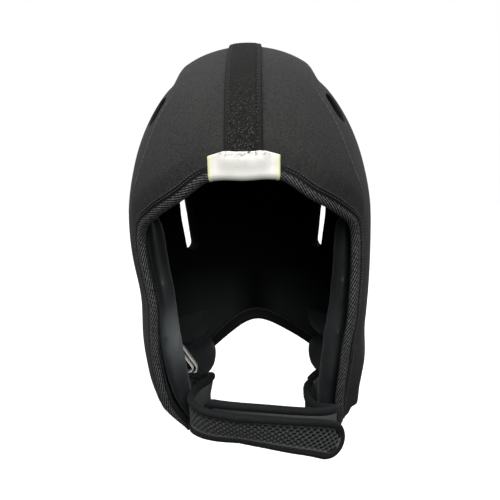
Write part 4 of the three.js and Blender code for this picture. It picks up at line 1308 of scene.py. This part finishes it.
# How far the stitches lie in from the roll's middle and out on its face, as shares of its radius
SEWN_IN, SEWN_OUT = 0.72, 0.74
for name, strap in STRAPS.items():
    middle_of_bead = strap["high"] / 2 - BEAD / 2
    tip_middle = strap["long"] - strap["high"] / 2
    run = np.linspace(0, tip_middle, int(tip_middle / 1.0))
    round_end = np.linspace(np.pi / 2, -np.pi / 2, 42)[1:-1]
    at = np.concatenate([run, np.full(len(round_end), tip_middle), run[::-1]])
    turn = np.concatenate([np.full(len(run), np.pi / 2), round_end, np.full(len(run), -np.pi / 2)])
    angle = np.linspace(0, 2 * np.pi, BEAD_SIDES, endpoint=False)
    place_along = np.concatenate([[0], np.cumsum(np.hypot(np.diff(at), np.diff(turn) * middle_of_bead))])
    gather = sum(high * np.sin(2 * np.pi * place_along / long + start) for high, long, start in GATHERS)
    sewn_line = 0.16 * bell(angle, SEWN_AT, 0.3)
    radius = BEAD / 2 * (1 - sewn_line[None] + gather[:, None] * bell(angle, SEWN_AT, 1.1))
    spread = middle_of_bead + np.cos(angle) * radius
    points = strap["place"](
        at[:, None] + np.cos(turn)[:, None] * spread,
        np.sin(turn)[:, None] * spread,
        np.sin(angle) * radius,
    )
    uv = np.stack([place_along[:, None] + 0 * angle, angle * BEAD / 2 + 0 * place_along[:, None]], -1)
    mesh = capped(f"strap_{name}_roll", points, uv)
    made = add_piece(mesh, strap_jersey, "strap_jersey", f"chin_strap_{name}_bead", settles=False)
    stitch = np.arange(4, place_along[-1] - 4, ROLL_PITCH)
    stitch_turn = np.interp(stitch, place_along, turn)
    inset = middle_of_bead - BEAD / 2 * SEWN_IN
    stitch_along = np.interp(stitch, place_along, at) + np.cos(stitch_turn) * inset
    stitch_across = np.sin(stitch_turn) * inset
    where = strap["place"](stitch_along, stitch_across, np.full_like(stitch, BEAD / 2 * SEWN_OUT))
    out = where - strap["place"](stitch_along, stitch_across, 0 * stitch)
    rows = [(where, np.gradient(where, axis=0), out)]
    sew(f"strap_{name}_stitches", rows, SEW_LONG, sewing_thread, "strap_jersey", settles=False)

# %% [markdown]
# ## The tag
# A small white ribbon, folded double, hangs inside the left cheek, edge on to the front. Its middle line is
# a curve through a few points; the ribbon runs out on one side of that line, turns, and runs back on the
# other.

# %% The folded ribbon
TAG_WIDE, TAG_Y, TAG_Z, PLY, PLY_GAP, TAG_TURN = 12.0, 17.0, -229.0, 1.0, 3.4, np.radians(-13)
TAG_PATH = np.array([(0, 0), (4, 0), (8, 4), (13, 12), (18, 20), (19, 23), (17, 25.5), (12, 28)], float)
tag_root = lifted(side_of_form(-1, TAG_Y, TAG_Z), -WALL - 1.4)
tag_rows = np.stack([tag_root[0] + TAG_PATH[:, 0], 0 * TAG_PATH[:, 0], tag_root[2] - TAG_PATH[:, 1]], -1)
tag_line = spline(tag_rows, np.linspace(0, len(tag_rows) - 1, 70))
tag_forward = unit(np.gradient(tag_line, axis=0))
tag_side = np.cross(tag_forward, [0.0, 1.0, 0.0])
turn = np.linspace(np.pi / 2, -np.pi / 2, 9)[1:-1, None]
ribbon = np.vstack(
    [
        tag_line + tag_side * PLY_GAP / 2,
        tag_line[-1] + (tag_side[-1] * np.sin(turn) + tag_forward[-1] * np.cos(turn)) * PLY_GAP / 2,
        (tag_line - tag_side * PLY_GAP / 2)[::-1],
    ]
)
ribbon_side = np.cross(unit(np.gradient(ribbon, axis=0)), [0.0, 1.0, 0.0])
under_half = np.array([(-0.5, -0.2), (-0.47, -0.5), (0.47, -0.5), (0.5, -0.2)])
section = np.vstack([under_half, -under_half])
ribbon_wide = np.array([0.0, np.cos(TAG_TURN), 0.0]) + np.sin(TAG_TURN) * unit(tag_side.mean(axis=0))
tag_points = (
    ribbon[:, None]
    + section[None, :, :1] * TAG_WIDE * ribbon_wide
    + section[None, :, 1:] * PLY * ribbon_side[:, None]
    + np.array([0.0, TAG_Y, 0.0])
)
run, across = lengths(ribbon), section[None, :, 0] * TAG_WIDE
tag_uv = np.stack([across + 0 * run[:, None], run[:, None] + 0 * across], -1)
tag_mesh = capped("folded_tag", tag_points, tag_uv)
tag = add_piece(tag_mesh, label_satin, "label_satin", "inner_tag")
print(f"tag ribbon: {run[-1]:.0f} mm")

# %% [markdown]
# ## Floor, light and camera
# The photo is a packshot: the helmet alone on white, lit softly from above. A broad sky lights the dome, a
# soft box in front reaches into the face opening, and two weak ones behind show the back. The world looks
# white but gives little light, and a pale floor lies well below. The camera is 650 mm away, 10 degrees up,
# at 58 mm.

# %% Stage
floor_finish, tree = new_finish("matt_white_paper")
surfaced(tree, {"Base Color": linear("#f0f0ef"), "Roughness": 0.9})
FLOOR_HALF, FLOOR_Z, ROOM_LIGHT = 4000.0, -620.0, 0.08
corner = np.array([(-1, -1), (1, -1), (1, 1), (-1, 1)], float) * FLOOR_HALF
floor_mesh = mesh_from("floor", np.column_stack([corner, np.full(4, FLOOR_Z)]), [np.arange(4)[None]])
floor_mesh.materials.append(floor_finish)
floor = bpy.data.objects.new("floor", floor_mesh)
bpy.context.scene.collection.objects.link(floor)
# A packshot is cut out, so the paper is seen but throws no light back up under the helmet
floor.visible_diffuse = floor.visible_glossy = False

world = bpy.data.worlds.new("white_room")
world.use_nodes = True
tree = world.node_tree
tree.nodes.clear()
# The room looks white, but lights the helmet with only a part of that, so that black cloth stays black
is_seen = node(tree, "ShaderNodeLightPath").outputs["Is Camera Ray"]
strength = ranged(tree, is_seen, 0.0, 1.0, ROOM_LIGHT, 1.0)
room = node(tree, "ShaderNodeBackground", {"Color": (1, 1, 1, 1), "Strength": strength})
node(tree, "ShaderNodeOutputWorld", {"Surface": room.outputs[0]})
bpy.context.scene.world = world
bpy.context.scene.view_settings.view_transform = "Standard"

# %% Lamps and camera
SKY_STRENGTH, SKY_ANGLE, SKY_FALLS = 4.4, 100.0, (0.16, 0.15, -0.97)
HELMET_MIDDLE = Vector((0, 0, -0.18))
# Each box: its watts, its width and its place in metres; all of them point at the middle of the helmet
SOFTBOXES = {
    "front_softbox": (13.0, 0.8, (0.4, -1.65, 0.52)),
    "back_softbox_left": (3.0, 1.2, (-1.3, 1.4, 0.5)),
    "back_softbox_right": (7.0, 1.2, (1.3, 1.4, 0.5)),
}


def add_lamp(name, kind, faces, **settings):
    """Links a lamp that shines along a direction; the settings go on the lamp."""
    lamp = bpy.data.lights.new(name, kind)
    for setting, value in settings.items():
        setattr(lamp, setting, value)
    holder = bpy.data.objects.new(name, lamp)
    holder.rotation_euler = Vector(faces).to_track_quat("-Z", "Y").to_euler()
    bpy.context.scene.collection.objects.link(holder)
    return holder


add_lamp("overhead_sky", "SUN", SKY_FALLS, energy=SKY_STRENGTH, angle=np.radians(SKY_ANGLE))
for name, (watts, wide, at) in SOFTBOXES.items():
    box = add_lamp(name, "AREA", HELMET_MIDDLE - Vector(at), energy=watts, shape="DISK", size=wide)
    box.location = at

TARGET, FAR, AZIMUTH, ELEVATION, ROLL = np.array([-0.001, 0, -0.147]), 0.650, 2.0, 10.0, -1.5
LENS_LONG, SENSOR_WIDE = 58.32, 36.0
a, e, c = np.radians([AZIMUTH, ELEVATION, ROLL])
back = np.array([np.sin(a) * np.cos(e), -np.cos(a) * np.cos(e), np.sin(e)])
level = unit(np.cross(-back, [0, 0, 1]))
upright = np.cross(back, level)
right, up = np.cos(c) * level + np.sin(c) * upright, -np.sin(c) * level + np.cos(c) * upright
lens = bpy.data.cameras.new("packshot_camera")
lens.lens, lens.sensor_width = LENS_LONG, SENSOR_WIDE
camera = bpy.data.objects.new("packshot_camera", lens)
turned = Matrix(np.column_stack([right, up, back]).tolist()).to_4x4()
camera.matrix_world = Matrix.Translation(TARGET + back * FAR) @ turned
bpy.context.scene.collection.objects.link(camera)
bpy.context.scene.camera = camera
